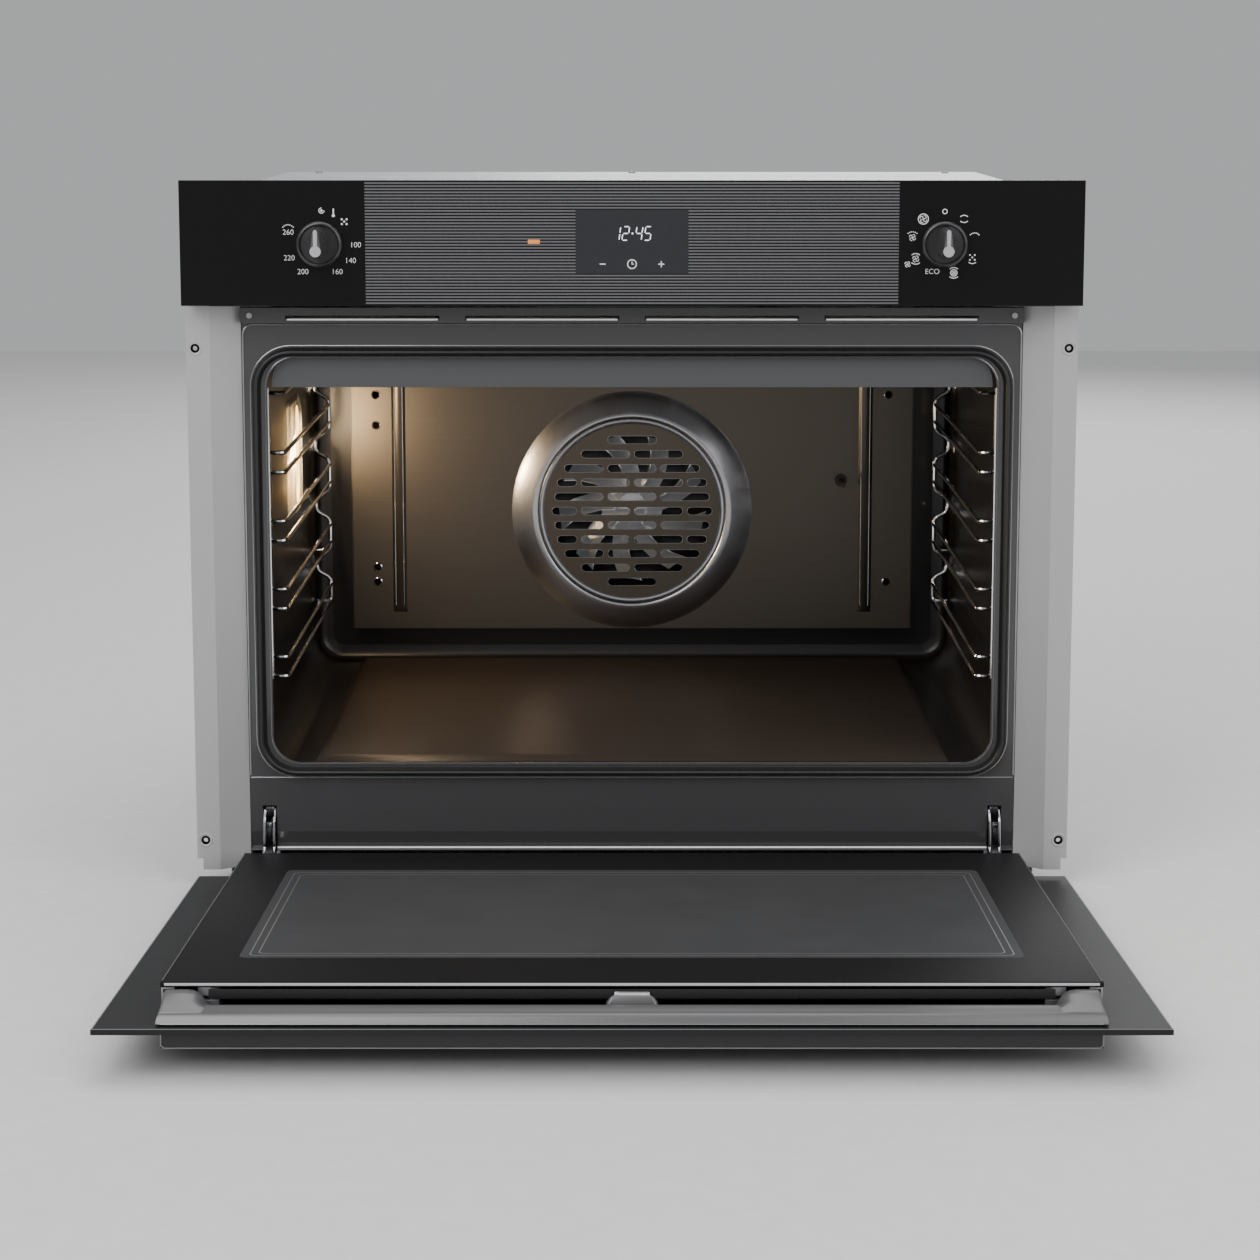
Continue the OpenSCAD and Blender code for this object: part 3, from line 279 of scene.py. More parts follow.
ENAMEL = Finish("dark_enamel", (0.052, 0.052, 0.054), 0.24, coat=0.3, bump=0.02, grain_size=8)
# Light enamel for thin tubes along the mouth and the front plate's edges: painted highlights.
RIM_HIGHLIGHT = Finish("rim_painted_highlight", (0.30, 0.30, 0.305), 0.18, metallic=0.5, coat=0.6)
LIP_GREY = Finish("lip_grey", (0.072, 0.073, 0.076), 0.32, coat=0.2, specular=0.4)
CAVITY_ENAMEL = Finish("cavity_enamel", (0.016, 0.014, 0.013), 0.3, specular=0.45, grain_size=12, bump=0.02)
FLOOR_ENAMEL = Finish(
    "cavity_floor_enamel", (0.040, 0.031, 0.025), 0.42, specular=0.3, grain_size=10, colour_swing=0.12
)
SEAL_BLACK = Finish("seal_black", (0.012, 0.012, 0.012), 0.4, grain=Grain.FIBRE, bump=0.25, grain_size=30)
COVER_STEEL = Finish(
    "fan_cover_steel", (0.112, 0.098, 0.082), 0.36, metallic=0.85,
    grain=Grain.ACROSS, grain_size=14, bump=0.04,
)
# Steel far lighter than the cover it is pressed from, for the ring, the slot lips and the bead edges: real pressed
# features with a painted highlight.
RING_HIGHLIGHT_STEEL = Finish("fan_ring_highlight_steel", (0.50, 0.50, 0.52), 0.25, metallic=1.0, grain_size=4)
# Near black, for the painted shade in the flange holes and for the cover's screw heads.
HOLE_BLACK = Finish("hole_black", (0.004, 0.004, 0.004), 0.8, specular=0.05)
DARK_STEEL = Finish("dark_steel", (0.045, 0.040, 0.035), 0.4, metallic=0.6)
# Light grey for the thin line along the ledge's front edge: painted glint.
EDGE_GLINT = Finish("painted_edge_glint", (0.58, 0.59, 0.60), 0.25, metallic=0.6)
# Glowing light grey for the thin lines along the foot and under the vent slots: painted glints, not lit.
GLINT_GLOW = Finish("painted_glint_glow", (0.85, 0.85, 0.85), 0.4, glow=(0.9, 0.9, 0.9), glow_strength=0.2)
DARK_CLADDING = Finish("heater_sheath", (0.10, 0.095, 0.09), 0.5, metallic=0.8, grain=Grain.CAST)
CHROME = Finish("chromed_wire", (0.78, 0.77, 0.75), 0.12, metallic=1.0, colour_swing=0.03)
# Bright aluminium with a faint glow added: painted brightness, the fans are not lit.
GLOWING_FAN_METAL = Finish(
    "fan_aluminium_painted_glow", (0.78, 0.78, 0.79), 0.28, metallic=0.8,
    grain=Grain.CAST, glow=(0.8, 0.82, 0.86), glow_strength=0.05,
)
WOOL = Finish(
    "mineral_wool", (0.66, 0.60, 0.44), 0.95, specular=0.1,
    grain=Grain.FIBRE, grain_size=6, bump=0.8, colour_swing=0.2,
)
MOTOR = Finish("motor_core", (0.32, 0.32, 0.34), 0.45, metallic=0.8, grain=Grain.UPRIGHT)
LAMP_GLASS = Finish("lamp_glass", (1.0, 0.70, 0.35), 0.25, glow=(1.0, 0.42, 0.07), glow_strength=1.0)
LAMP_HEART = Finish("lamp_heart", (1.0, 0.85, 0.6), 0.25, glow=(1.0, 0.56, 0.13), glow_strength=5.0)
BULB_GLASS = Finish("bulb_glass", (1.0, 0.9, 0.7), 0.1, glow=(1.0, 0.75, 0.4), glow_strength=4.0)
CIRCUIT = Finish("circuit_board", (0.02, 0.13, 0.05), 0.5)
MOULDING = Finish("ivory_moulding", (0.62, 0.58, 0.48), 0.45)
CARRIER = Finish("carrier_paint", (0.10, 0.10, 0.105), 0.4)
RUBBER = Finish("gland_rubber", (0.02, 0.02, 0.02), 0.6, bump=0.1)
HINGE_STEEL = Finish("hinge_steel", (0.82, 0.82, 0.83), 0.34, metallic=0.9, grain=Grain.UPRIGHT)
DOOR_GLASS = Finish("door_outer_glass", (0.024, 0.024, 0.025), 0.4, specular=0.06, grain_size=2)
FRIT = Finish("door_frit", (0.012, 0.012, 0.0125), 0.5, specular=0.08, grain_size=3)
WINDOW = Finish("door_window", (0.052, 0.053, 0.055), 0.5, specular=0.1, grain_size=0.6, colour_swing=0.12)
# Light grey strip on the inner pane's front edge: the real edge, lighter as a painted highlight.
GLASS_EDGE_HIGHLIGHT = Finish("door_glass_edge_highlight", (0.52, 0.52, 0.52), 0.3)
WING_EDGE = Finish("wing_edge", (0.17, 0.175, 0.18), 0.3)
# Lighter grey for thin lines along the handle's ends and one long edge: painted highlight.
HANDLE_HIGHLIGHT = Finish("handle_painted_highlight", (0.34, 0.34, 0.35), 0.3)
MIDDLE_GLASS = Finish("door_middle_glass", (0.35, 0.38, 0.39), 0.08, transmission=0.9)
LEDGE_GREY = Finish("ledge_grey", (0.135, 0.135, 0.137), 0.3, metallic=0.45, grain_size=20)
# Near black lining for the ledge's recess: painted shade.
RECESS_SHADE = Finish("ledge_recess_shade", (0.020, 0.020, 0.0205), 0.6, specular=0.15)
RAIL_GREY = Finish("door_rail_steel", (0.35, 0.35, 0.36), 0.4, metallic=0.8, grain=Grain.UPRIGHT)
HANDLE_GREY = Finish("handle_anthracite", (0.030, 0.030, 0.032), 0.36, metallic=0.3, grain=Grain.ACROSS)
FLOOR_PALE = Finish("pale_floor", (0.72, 0.72, 0.71), 0.75, specular=0.2, grain_size=1)


class Form:
    """A mesh under construction."""

    def __init__(self) -> None:
        """Starts with no faces."""
        self.mesh = bmesh.new()

    def block(self, lo: Vector, hi: Vector, edge: float = 0.0, steps: int = 2) -> None:
        """Adds a cuboid with rounded edges.

        Args:
            lo: lowest corner.
            hi: highest corner.
            edge: radius of its edges.
            steps: segments of the rounding.
        """
        corners = [
            self.mesh.verts.new((x, y, z))
            for x in (lo[0], hi[0]) for y in (lo[1], hi[1]) for z in (lo[2], hi[2])
        ]
        sides = [(0, 1, 3, 2), (4, 6, 7, 5), (0, 4, 5, 1), (2, 3, 7, 6), (0, 2, 6, 4), (1, 5, 7, 3)]
        faces = [self.mesh.faces.new([corners[i] for i in side]) for side in sides]
        if edge:
            edges = list({e for face in faces for e in face.edges})
            bmesh.ops.bevel(
                self.mesh, geom=[*corners, *edges], offset=edge, segments=steps, profile=0.5, affect="EDGES"
            )

    def loft(
        self, rings: Sequence[Sequence[Vector]], around: bool = True, ends: bool = True, loop: bool = False
    ) -> None:
        """Joins rings of points with a skin.

        Args:
            rings: rows of the same number of points.
            around: whether each row closes on itself.
            ends: whether the first and last rows are capped.
            loop: whether the last row joins the first.
        """
        rows = [[self.mesh.verts.new(p) for p in ring] for ring in rings]
        pairs = list(zip(rows, rows[1:])) + ([(rows[-1], rows[0])] if loop else [])
        count = len(rows[0])
        for a, b in pairs:
            for i in range(count if around else count - 1):
                j = (i + 1) % count
                self.mesh.faces.new((a[i], a[j], b[j], b[i]))
        if ends and around and not loop:
            self.mesh.faces.new(list(reversed(rows[0])))
            self.mesh.faces.new(rows[-1])

    def tube(self, path: Sequence[Vector], radius: float, sides: int = 12, loop: bool = False) -> None:
        """Adds a round tube along a path.

        Args:
            path: the points of its centre line.
            radius: its radius.
            sides: the number of its sides.
            loop: whether the path closes.
        """
        turns = [TURN * i / sides for i in range(sides)]
        circle = [(radius * math.cos(turn), radius * math.sin(turn)) for turn in turns]
        self.sweep(path, circle, loop)

    def sweep(
        self,
        path: Sequence[Vector],
        outline: Sequence[Point],
        loop: bool = False,
        up: Vector = Vector((0, 0, 1)),
    ) -> None:
        """Pulls an outline along a path with mitred corners.

        Args:
            path: the points of the path.
            outline: points as sideways and up.
            loop: whether the path closes.
            up: the direction that stays up where it can.
        """
        count = len(path)
        rings, normal = [], None
        for i, point in enumerate(path):
            before = path[i - 1] if i or loop else None
            after = path[(i + 1) % count] if i < count - 1 or loop else None
            a = (point - before).normalized() if before is not None else None
            b = (after - point).normalized() if after is not None else None
            along = (a + b).normalized() if a and b else (a or b)
            if normal is None:
                normal = up - along * up.dot(along)
                if normal.length < 0.01:
                    normal = Vector((1, 0, 0)) - along * along.x
            normal = (normal - along * normal.dot(along)).normalized()
            side = along.cross(normal)
            stretch = 1.0 / max(0.5, along.dot(b)) if a and b else 1.0
            bend = (b - a) if a and b else Vector()
            out = bend.normalized() if bend.length > 1e-6 else Vector()
            ring = []
            for s, h in outline:
                offset = side * s + normal * h
                ring.append(point + offset + out * offset.dot(out) * (stretch - 1))
            rings.append(ring)
        self.loft(rings, ends=not loop, loop=loop)

    def lathe(self, outline: Sequence[Point], centre: Vector, steps: int = 64) -> None:
        """Turns an outline about the line through centre along Y.

        Args:
            outline: points as radius and distance towards +Y.
            centre: a point on the axis.
            steps: segments round the axis.
        """
        rings = []
        for r, y in outline:
            rings.append(
                [
                    centre + Vector((r * math.cos(TURN * i / steps), y, r * math.sin(TURN * i / steps)))
                    for i in range(steps)
                ]
            )
        self.loft(rings, ends=False)

    def plate(self, outline: Sequence[Point], holes: Sequence[Sequence[Point]], y0: float, y1: float) -> None:
        """Adds an upright plate with holes.

        Args:
            outline: its edge as x and z.
            holes: the edges of its holes.
            y0: its front.
            y1: its back.
        """
        loops = [outline, *holes]
        flat = [p for loop in loops for p in loop]
        triangles = tessellate_polygon([[Vector((x, z, 0)) for x, z in loop] for loop in loops])
        layers = [[self.mesh.verts.new((x, y, z)) for x, z in flat] for y in (y0, y1)]
        for triangle in triangles:
            for layer in layers:
                self.mesh.faces.new([layer[i] for i in triangle])
        start = 0
        for loop in loops:
            for i in range(len(loop)):
                a, b = start + i, start + (i + 1) % len(loop)
                self.mesh.faces.new((layers[0][a], layers[0][b], layers[1][b], layers[1][a]))
            start += len(loop)

    def lay(self, mesh: bpy.types.Mesh, place: Matrix) -> None:
        """Adds a copy of a mesh.

        Args:
            mesh: the mesh to copy.
            place: where the copy goes.
        """
        before = set(self.mesh.verts)
        self.mesh.from_mesh(mesh)
        bmesh.ops.transform(self.mesh, matrix=place, verts=[v for v in self.mesh.verts if v not in before])

    def done(
        self,
        name: str,
        finish: Finish,
        body: str,
        slot: str,
        replaces: Iterable[str] = (),
        place: Matrix | None = None,
        sharp: float = 35.0,
    ) -> bpy.types.Object:
        """Turns the form into a piece of the oven.

        Args:
            name: the piece's name.
            finish: its finish.
            body: the CAD body it rides on.
            slot: the material slot of the record; not used.
            replaces: the CAD nodes it stands for.
            place: a transform for all its points.
            sharp: the angle from which an edge stays sharp.

        Returns:
            The new object.
        """
        bmesh.ops.remove_doubles(self.mesh, verts=self.mesh.verts, dist=1e-6)
        bmesh.ops.recalc_face_normals(self.mesh, faces=self.mesh.faces)
        if place is not None:
            bmesh.ops.transform(self.mesh, matrix=place, verts=self.mesh.verts)
        data = bpy.data.meshes.new(name)
        self.mesh.to_mesh(data)
        self.mesh.free()
        data.shade_smooth()
        data.set_sharp_from_angle(angle=math.radians(sharp))
        data.materials.append(finish.material())
        piece = bpy.data.objects.new(name, data)
        bpy.context.scene.collection.objects.link(piece)
        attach(piece, body)
        nodes = list(replaces)
        if nodes:
            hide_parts(*nodes)
        return piece


def arc(cx: float, cz: float, r: float, start: float, end: float, steps: int = 12) -> list[Point]:
    """Points along an arc.

    Args:
        cx: centre across.
        cz: centre up.
        r: radius.
        start: first angle in degrees.
        end: last angle in degrees.
        steps: number of segments.

    Returns:
        The points.
    """
    angles = [math.radians(start + (end - start) * i / steps) for i in range(steps + 1)]
    return [(cx + r * math.cos(a), cz + r * math.sin(a)) for a in angles]


def rounded(half: float, z0: float, z1: float, r: float, steps: int = 8) -> list[Point]:
    """Outline of a rectangle with round corners, centred across.

    Args:
        half: half its width.
        z0: its bottom.
        z1: its top.
        r: its corner radius.
        steps: segments of a corner.

    Returns:
        The points.
    """
    return [
        *arc(half - r, z1 - r, r, 0, 90, steps),
        *arc(-half + r, z1 - r, r, 90, 180, steps),
        *arc(-half + r, z0 + r, r, 180, 270, steps),
        *arc(half - r, z0 + r, r, 270, 360, steps),
    ]


def stadium(x0: float, x1: float, z: float, h: float, steps: int = 6) -> list[Point]:
    """Outline of a slot with round ends.

    Args:
        x0: its left end.
        x1: its right end.
        z: its middle height.
        h: its height.
        steps: segments of an end.

    Returns:
        The points.
    """
    r = h / 2
    return [*arc(x1 - r, z, r, -90, 90, steps), *arc(x0 + r, z, r, 90, 270, steps)]


def upright(points: Iterable[Point], y: float) -> list[Vector]:
    """Points given as x and z, set at a depth."""
    return [Vector((x, y, z)) for x, z in points]


def dress(node: str, finish: Finish, edge: float = 0.0) -> None:
    """Gives a CAD node a finish, and soft edges where asked.

    Args:
        node: the CAD node.
        finish: its finish.
        edge: radius of its edges, 0 for none.
    """
    piece = frame["nodes"][node]
    piece.data.materials.clear()
    piece.data.materials.append(finish.material())
    if edge:
        weld = piece.modifiers.new("weld", "WELD")
        weld.merge_threshold = 1e-6
        bevel = piece.modifiers.new("edge", "BEVEL")
        bevel.width, bevel.segments = edge, 2
        bevel.limit_method, bevel.angle_limit = "ANGLE", math.radians(40)
        bevel.harden_normals = True
    log.info("%s dressed as %s", node, finish.name)


@dataclass
class Printing:
    """Marks printed on the upright front of the panel."""

    y: float
    line: float = 0.62 * MM
    raise_by: float = 0.06 * MM
    thin: float = 0.1 * MM
    form: Form = field(default_factory=Form)

    def stroke(self, points: Sequence[Point], width: float | None = None, closed: bool = False) -> None:
        """Draws a line of even width.

        Args:
            points: the line's points as x and z.
            width: its width, or the usual one.
            closed: whether it closes.
        """
        half = (width or self.line) / 2
        outline = [(-half, 0.0), (half, 0.0), (half, self.raise_by), (-half, self.raise_by)]
        self.form.sweep(upright(points, self.y), outline, closed, up=Vector((0, -1, 0)))

    def ring(self, cx: float, cz: float, r: float, start: float = 0, end: float = 360) -> None:
        """Draws a circle or a part of one.

        Args:
            cx: centre across.
            cz: centre up.
            r: radius.
            start: first angle in degrees.
            end: last angle in degrees.
        """
        if end - start >= 360:
            self.stroke(arc(cx, cz, r, 0, 345, 23), closed=True)
        else:
            self.stroke(arc(cx, cz, r, start, end, 10))

    def dot(self, cx: float, cz: float, r: float) -> None:
        """Draws a filled dot."""
        self.form.plate(arc(cx, cz, r, 0, 330, 11), [], self.y - self.raise_by, self.y)

    def patch(self, x0: float, x1: float, z0: float, z1: float) -> None:
        """Draws a filled rectangle."""
        self.form.block(Vector((x0, self.y - self.raise_by, z0)), Vector((x1, self.y, z1)))

    def figures(self, words: str, cx: float, cz: float, height: float) -> None:
        """Writes plain figures.

        Args:
            words: the characters.
            cx: their middle across.
            cz: their middle up.
            height: the size of the type.
        """
        curve = bpy.data.curves.new("figures", "FONT")
        curve.body, curve.size, curve.extrude = words, height, self.raise_by / 2
        curve.align_x, curve.align_y, curve.offset = "CENTER", "CENTER", -self.thin
        writer = bpy.data.objects.new("figures", curve)
        mesh = bpy.data.meshes.new_from_object(writer)
        centre = sum((Vector(corner) for corner in writer.bound_box), Vector()) / 8
        place = Matrix.Translation((cx, self.y - self.raise_by / 2, cz))
        turn = Matrix.Rotation(math.radians(90), 4, "X")
        self.form.lay(mesh, place @ turn @ Matrix.Translation((0, -centre.y, 0)))
        bpy.data.objects.remove(writer)
        bpy.data.curves.remove(curve)
        bpy.data.meshes.remove(mesh)

    def fan(self, cx: float, cz: float, r: float) -> None:
        """Draws a small four-bladed fan.

        Args:
            cx: centre across.
            cz: centre up.
            r: its radius.
        """
        for i in range(4):
            turn = 90 * i + 20
            tip = math.radians(turn + 40)
            half = r * 0.5
            blade = arc(cx + half * math.cos(tip), cz + half * math.sin(tip), half, turn - 40, turn + 90, 5)
            self.stroke([(cx, cz), *blade], self.line * 0.8)

    def dotted(self, cx: float, cz: float, r: float, start: float, end: float, count: int) -> None:
        """Draws an arc of dots."""
        for x, z in arc(cx, cz, r, start, end, count - 1):
            self.dot(x, z, self.line * 0.75)


@dataclass
class ControlPanel:
    """Black glass panel with its stripes, display and printed marks."""

    striped_half: float = 223 * MM
    stripe_pitch: float = 2.57 * MM
    stripe_height: float = 1.35 * MM
    margin: float = 1.6 * MM
    digit_height: float = 11.4 * MM
    digit_width: float = 5.0 * MM
    digit_pitch: float = 7.4 * MM
    digit_line: float = 0.68 * MM
    digit_drop: float = 25.5 * MM
    digit_shift: float = 0.4 * MM
    segment_gap: float = 0.7 * MM
    key_height: float = 8 * MM
    key_reach: float = 24.5 * MM
    key_half: float = 2.5 * MM
    slant: float = 0.13
    mark_radius: float = 28 * MM
    type_size: float = 6.4 * MM

    def build(self) -> None:
        """Builds and dresses the panel."""
        dress("control_panel_glass", BLACK_GLASS)
        dress("display_window", DISPLAY_GLASS)
        dress("indicator_lens", ORANGE_LIGHT)
        dress("panel_carrier", CARRIER)
        dress("display_board", CIRCUIT)
        dress("thermostat_body", GALVANISED, 0.5 * MM)
        dress("selector_body", MOULDING, 0.5 * MM)
        self.stripes()
        self.display_marks()
        self.temperature_marks()
        self.function_marks()
        log.info("control panel built")

    def stripes(self) -> None:
        """Prints the fine level stripes round the display and the indicator."""
        lo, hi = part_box("control_panel_glass")
        window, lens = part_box("display_window"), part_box("indicator_lens")
        ink = Printing(FRONT_Y)
        z = lo.z + self.margin
        while z + self.stripe_height < hi.z - self.margin / 2:
            top = z + self.stripe_height
            spans = [(-self.striped_half, self.striped_half)]
            if top > lens[0].z and z < lens[1].z:
                spans = [(-self.striped_half, lens[0].x), (lens[1].x, self.striped_half)]
            if top > window[0].z and z < window[1].z:
                spans = [(a, min(b, window[0].x)) for a, b in spans if a < window[0].x]
                spans.append((window[1].x, self.striped_half))
            for x0, x1 in spans:
                ink.patch(x0, x1, z, top)
            z += self.stripe_pitch
        ink.form.done("panel_stripes", STRIPE_INK, "oven", "black_glass")
        form = Form()
        edge = 0.35 * MM
        left, right, foot, top = lo.x + 1.5 * edge, hi.x - 1.5 * edge, lo.z + 1.5 * edge, hi.z - 1.5 * edge
        rim = [(left, foot), (left, top), (right, top), (right, foot)]
        form.tube(upright(rim, lo.y + 1.2 * edge), edge, 8, loop=True)
        form.done("panel_ground_edge", WING_EDGE, "oven", "black_glass")

    def display_marks(self) -> None:
        """Lights the clock digits, and prints the three touch marks in white ink with a faint painted glow."""
        lo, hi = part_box("display_window")
        cx = (lo.x + hi.x) / 2
        lit = Printing(FRONT_Y, line=self.digit_line)
        segments = {
            "a": ((0, 1), (1, 1)), "b": ((1, 1), (1, 0.5)), "c": ((1, 0.5), (1, 0)), "d": ((0, 0), (1, 0)),
            "e": ((0, 0.5), (0, 0)), "f": ((0, 1), (0, 0.5)), "g": ((0, 0.5), (1, 0.5)),
        }
        shapes = {"1": "bc", "2": "abged", "4": "fgbc", "5": "afgcd"}
        base = hi.z - self.digit_drop
        for digit, place in zip("1245", (-1.75, -0.75, 0.75, 1.75)):
            x0 = cx + place * self.digit_pitch - self.digit_width / 2 - self.digit_shift
            for name in shapes[digit]:
                ends = []
                for u, v in segments[name]:
                    height = v * self.digit_height
                    ends.append(Vector((x0 + u * self.digit_width + height * self.slant, base + height)))
                gap = (ends[1] - ends[0]).normalized() * self.segment_gap
                lit.stroke([tuple(ends[0] + gap), tuple(ends[1] - gap)])
        middle = base + self.digit_height / 2
        lit.dot(cx - self.digit_shift + self.digit_height * self.slant / 2, middle, 0.7 * MM)
        key_z, arm = lo.z + self.key_height, self.key_half
        keys = Printing(FRONT_Y, line=0.8 * MM)
        for x in (cx - self.key_reach, cx + self.key_reach):
            keys.stroke([(x - arm, key_z), (x + arm, key_z)])
        plus = cx + self.key_reach
        keys.stroke([(plus, key_z - arm), (plus, key_z + arm)])
        keys.ring(cx, key_z, 3.7 * MM)
        keys.stroke([(cx, key_z + 2.3 * MM), (cx, key_z), (cx + 1.6 * MM, key_z)], 0.6 * MM)
        lit.form.done("clock_digits", LIT_DIGITS, "oven", "black_glass")
        keys.form.done("touch_marks", GLOWING_WHITE_INK, "oven", "black_glass")

    def around(self, knob: str, angle: float, radius: float) -> Point:
        """A point round a knob.

        Args:
            knob: the knob's CAD node.
            angle: degrees clockwise from the top.
            radius: distance from the knob's axis.

        Returns:
            The point as x and z.
        """
        lo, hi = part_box(knob)
        a = math.radians(angle)
        return (lo.x + hi.x) / 2 + radius * math.sin(a), (lo.z + hi.z) / 2 + radius * math.cos(a)

    def temperature_marks(self) -> None:
        """Prints the left dial."""
        ink = Printing(FRONT_Y)
        knob = "temperature_knob"
        for words, angle, reach in (
            ("100", 91, 30), ("140", 118, 29), ("160", 148, 27),
            ("200", 212, 27), ("220", 246, 28), ("260", 291, 28),
        ):
            x, z = self.around(knob, angle, reach * MM)
            ink.figures(words, x, z, self.type_size)
            if words == "260":
                ink.dotted(x, z + 0.5 * MM, 5.6 * MM, 40, 140, 7)
        x, z = self.around(knob, 4, self.mark_radius)
        ink.ring(x, z, 2.2 * MM, 90, 360)
        ink.dot(x, z, 1.0 * MM)
        x, z = self.around(knob, 25, self.mark_radius)
        ink.stroke([(x, z - 1 * MM), (x, z + 4.2 * MM)], 1.1 * MM)
        ink.dot(x, z - 1.6 * MM, 1.3 * MM)
        x, z = self.around(knob, 48, self.mark_radius)
        for dx, dz in ((-2, 2), (2, 2), (0, 0), (-2, -2), (2, -2)):
            ink.dot(x + dx * MM, z + dz * MM, 0.85 * MM)
        ink.form.done("temperature_marks", GLOWING_WHITE_INK, "oven", "black_glass")

    def function_marks(self) -> None:
        """Prints the right dial."""
        ink = Printing(FRONT_Y)
        lo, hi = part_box("function_knob")
        cx, cz = (lo.x + hi.x) / 2, (lo.z + hi.z) / 2
        r = 3.4 * MM
        ink.ring(cx, cz + 27.2 * MM, 1.9 * MM)
        x, z = cx + 16.1 * MM, cz + 21 * MM
        ink.ring(x, z - 1.4 * MM, r * 1.3, 45, 135)
        ink.ring(x, z + 1.4 * MM, r * 1.3, 225, 315)
        x, z = cx + 25.1 * MM, cz + 7.2 * MM
        ink.dotted(x, z - 3 * MM, r * 1.5, 45, 135, 7)
        x, z = cx + 23.5 * MM, cz - 12.1 * MM
        for dx, dz in ((-2, 3), (2, 3), (0, 1), (-2, -1), (2, -1)):
            ink.dot(x + dx * MM, z + dz * MM, 0.7 * MM)
        ink.ring(x, z + 0.6 * MM, r * 1.4, 230, 310)
        x, z = cx + 8.2 * MM, cz - 24 * MM
        ink.ring(x, z, r * 0.8)
        ink.fan(x, z, r * 0.5)
        ink.ring(x, z - 1 * MM, r * 1.6, 50, 130)
        ink.ring(x, z + 1 * MM, r * 1.6, 230, 310)
        ink.figures("ECO", cx - 9.8 * MM, cz - 22.8 * MM, self.type_size * 0.95)
        x, z = cx - 23.8 * MM, cz - 12.3 * MM
        ink.fan(x, z, r * 0.8)
        ink.ring(x, z - 1 * MM, r * 1.6, 50, 130)
        ink.ring(x, z + 1 * MM, r * 1.6, 230, 310)
        ink.fan(cx - 30.6 * MM, cz - 16.9 * MM, r * 0.7)
        x, z = cx - 26.8 * MM, cz + 6.5 * MM
        ink.fan(x, z - 1 * MM, r * 0.8)
        ink.dotted(x, z - 2 * MM, r * 1.7, 50, 130, 6)
        x, z = cx - 17.9 * MM, cz + 20.9 * MM
        ink.ring(x, z, r * 1.25)
        ink.fan(x, z, r * 0.9)
        ink.form.done("function_marks", GLOWING_WHITE_INK, "oven", "black_glass")


@dataclass
class Knob:
    """A control knob with a skirt, a dished face and a blade grip."""

    node: str
    pointer: str
    body: str
    steps: int = 72
    drop: float = 5.6 * MM
    bar_half: float = 1.6 * MM
    bar_top: float = 12.0 * MM

    def centre(self) -> Vector:
        """The point where the knob's axis meets the panel."""
        lo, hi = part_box(self.node)
        return Vector(((lo.x + hi.x) / 2, FRONT_Y, (lo.z + hi.z) / 2))

    def build(self) -> None:
        """Builds the knob and its pointer."""
        centre = self.centre()
        front = low(self.node).y - FRONT_Y
        radius = (high(self.node).x - low(self.node).x) / 2
        self.skirt(centre, radius)
        self.grip(centre, front)
        self.pointer_insert(centre, low(self.pointer).y - FRONT_Y)
        log.info("%s built", self.node)

    def skirt(self, centre: Vector, radius: float) -> None:
        """Turns the skirt ring and the dished disc.

        Args:
            centre: the foot of the axis.
            radius: the skirt's radius.
        """
        gap, top, dish = -0.6 * MM, -7.0 * MM, -4.4 * MM
        ring = [
            (radius - 2 * MM, gap), (radius, gap - 0.3 * MM), (radius, top + 2.6 * MM),
            (radius - 0.5 * MM, top + 1.1 * MM), (radius - 1.5 * MM, top + 0.25 * MM),
            (radius - 2.2 * MM, top), (radius - 3.0 * MM, top + 0.3 * MM),
            (radius - 3.6 * MM, dish), (radius - 4.4 * MM, dish + 0.3 * MM),
            (5 * MM, dish - 0.6 * MM), (0.1 * MM, dish - 0.6 * MM),
        ]
        form = Form()
        form.lathe(ring, centre, self.steps)
        form.tube([centre + Vector((0, 0.5 * MM, 0)), centre + Vector((0, 24 * MM, 0))], 3 * MM)
        form.done(self.node + "_skirt", KNOB_BLACK, self.body, "knob_plastic", [self.node])

    def grip(self, centre: Vector, front: float) -> None:
        """Lofts the blade grip, wide at the foot and slim at the top.

        Args:
            centre: the foot of the axis.
            front: how far the grip reaches, as a negative distance.
        """
        rings = []
        for share, half, reach, drop in (
            (0.0, 7.4, 15.0, 7.4), (0.14, 6.6, 14.6, 7.2), (0.45, 5.4, 14.2, 6.6), (0.8, 4.7, 13.7, 6.0),
            (0.95, 4.2, 13.3, 5.6), (1.0, 3.2, 12.4, 4.7),
        ):
            y = -4.0 * MM + (front + 4.0 * MM) * share
            w, up, low_r = half * MM, reach * MM, drop * MM
            outline = [
                *arc(0, up - w * 0.8, w * 0.8, 0, 180, 10),
                *arc(0, -up + 3.4 * MM + low_r, low_r, 200, 340, 14),
            ]
            rings.append(upright([(centre.x + x, centre.z + z) for x, z in outline], centre.y + y))
        form = Form()
        form.loft(rings)
        form.done(self.node + "_grip", KNOB_FACE, self.body, "knob_plastic", sharp=50)

    def pointer_insert(self, centre: Vector, front: float) -> None:
        """Sets the light drop and bar into the top of the grip.

        Args:
            centre: the foot of the axis.
            front: how far the insert reaches.
        """
        form = Form()
        w = self.bar_half
        outline = [
            *arc(0, -4.2 * MM, self.drop * 0.82, 110, 430, 22),
            (w, 1.8 * MM), (w, self.bar_top), *arc(0, self.bar_top, w, 0, 180, 6)[1:], (-w, 1.8 * MM),
        ]
        points = [(centre.x + x, centre.z + z) for x, z in outline]
        form.plate(points, [], centre.y + front, centre.y + front + 1.2 * MM)
        form.done(self.pointer + "_insert", POINTER_GREY, self.body, "pointer_metal", [self.pointer])


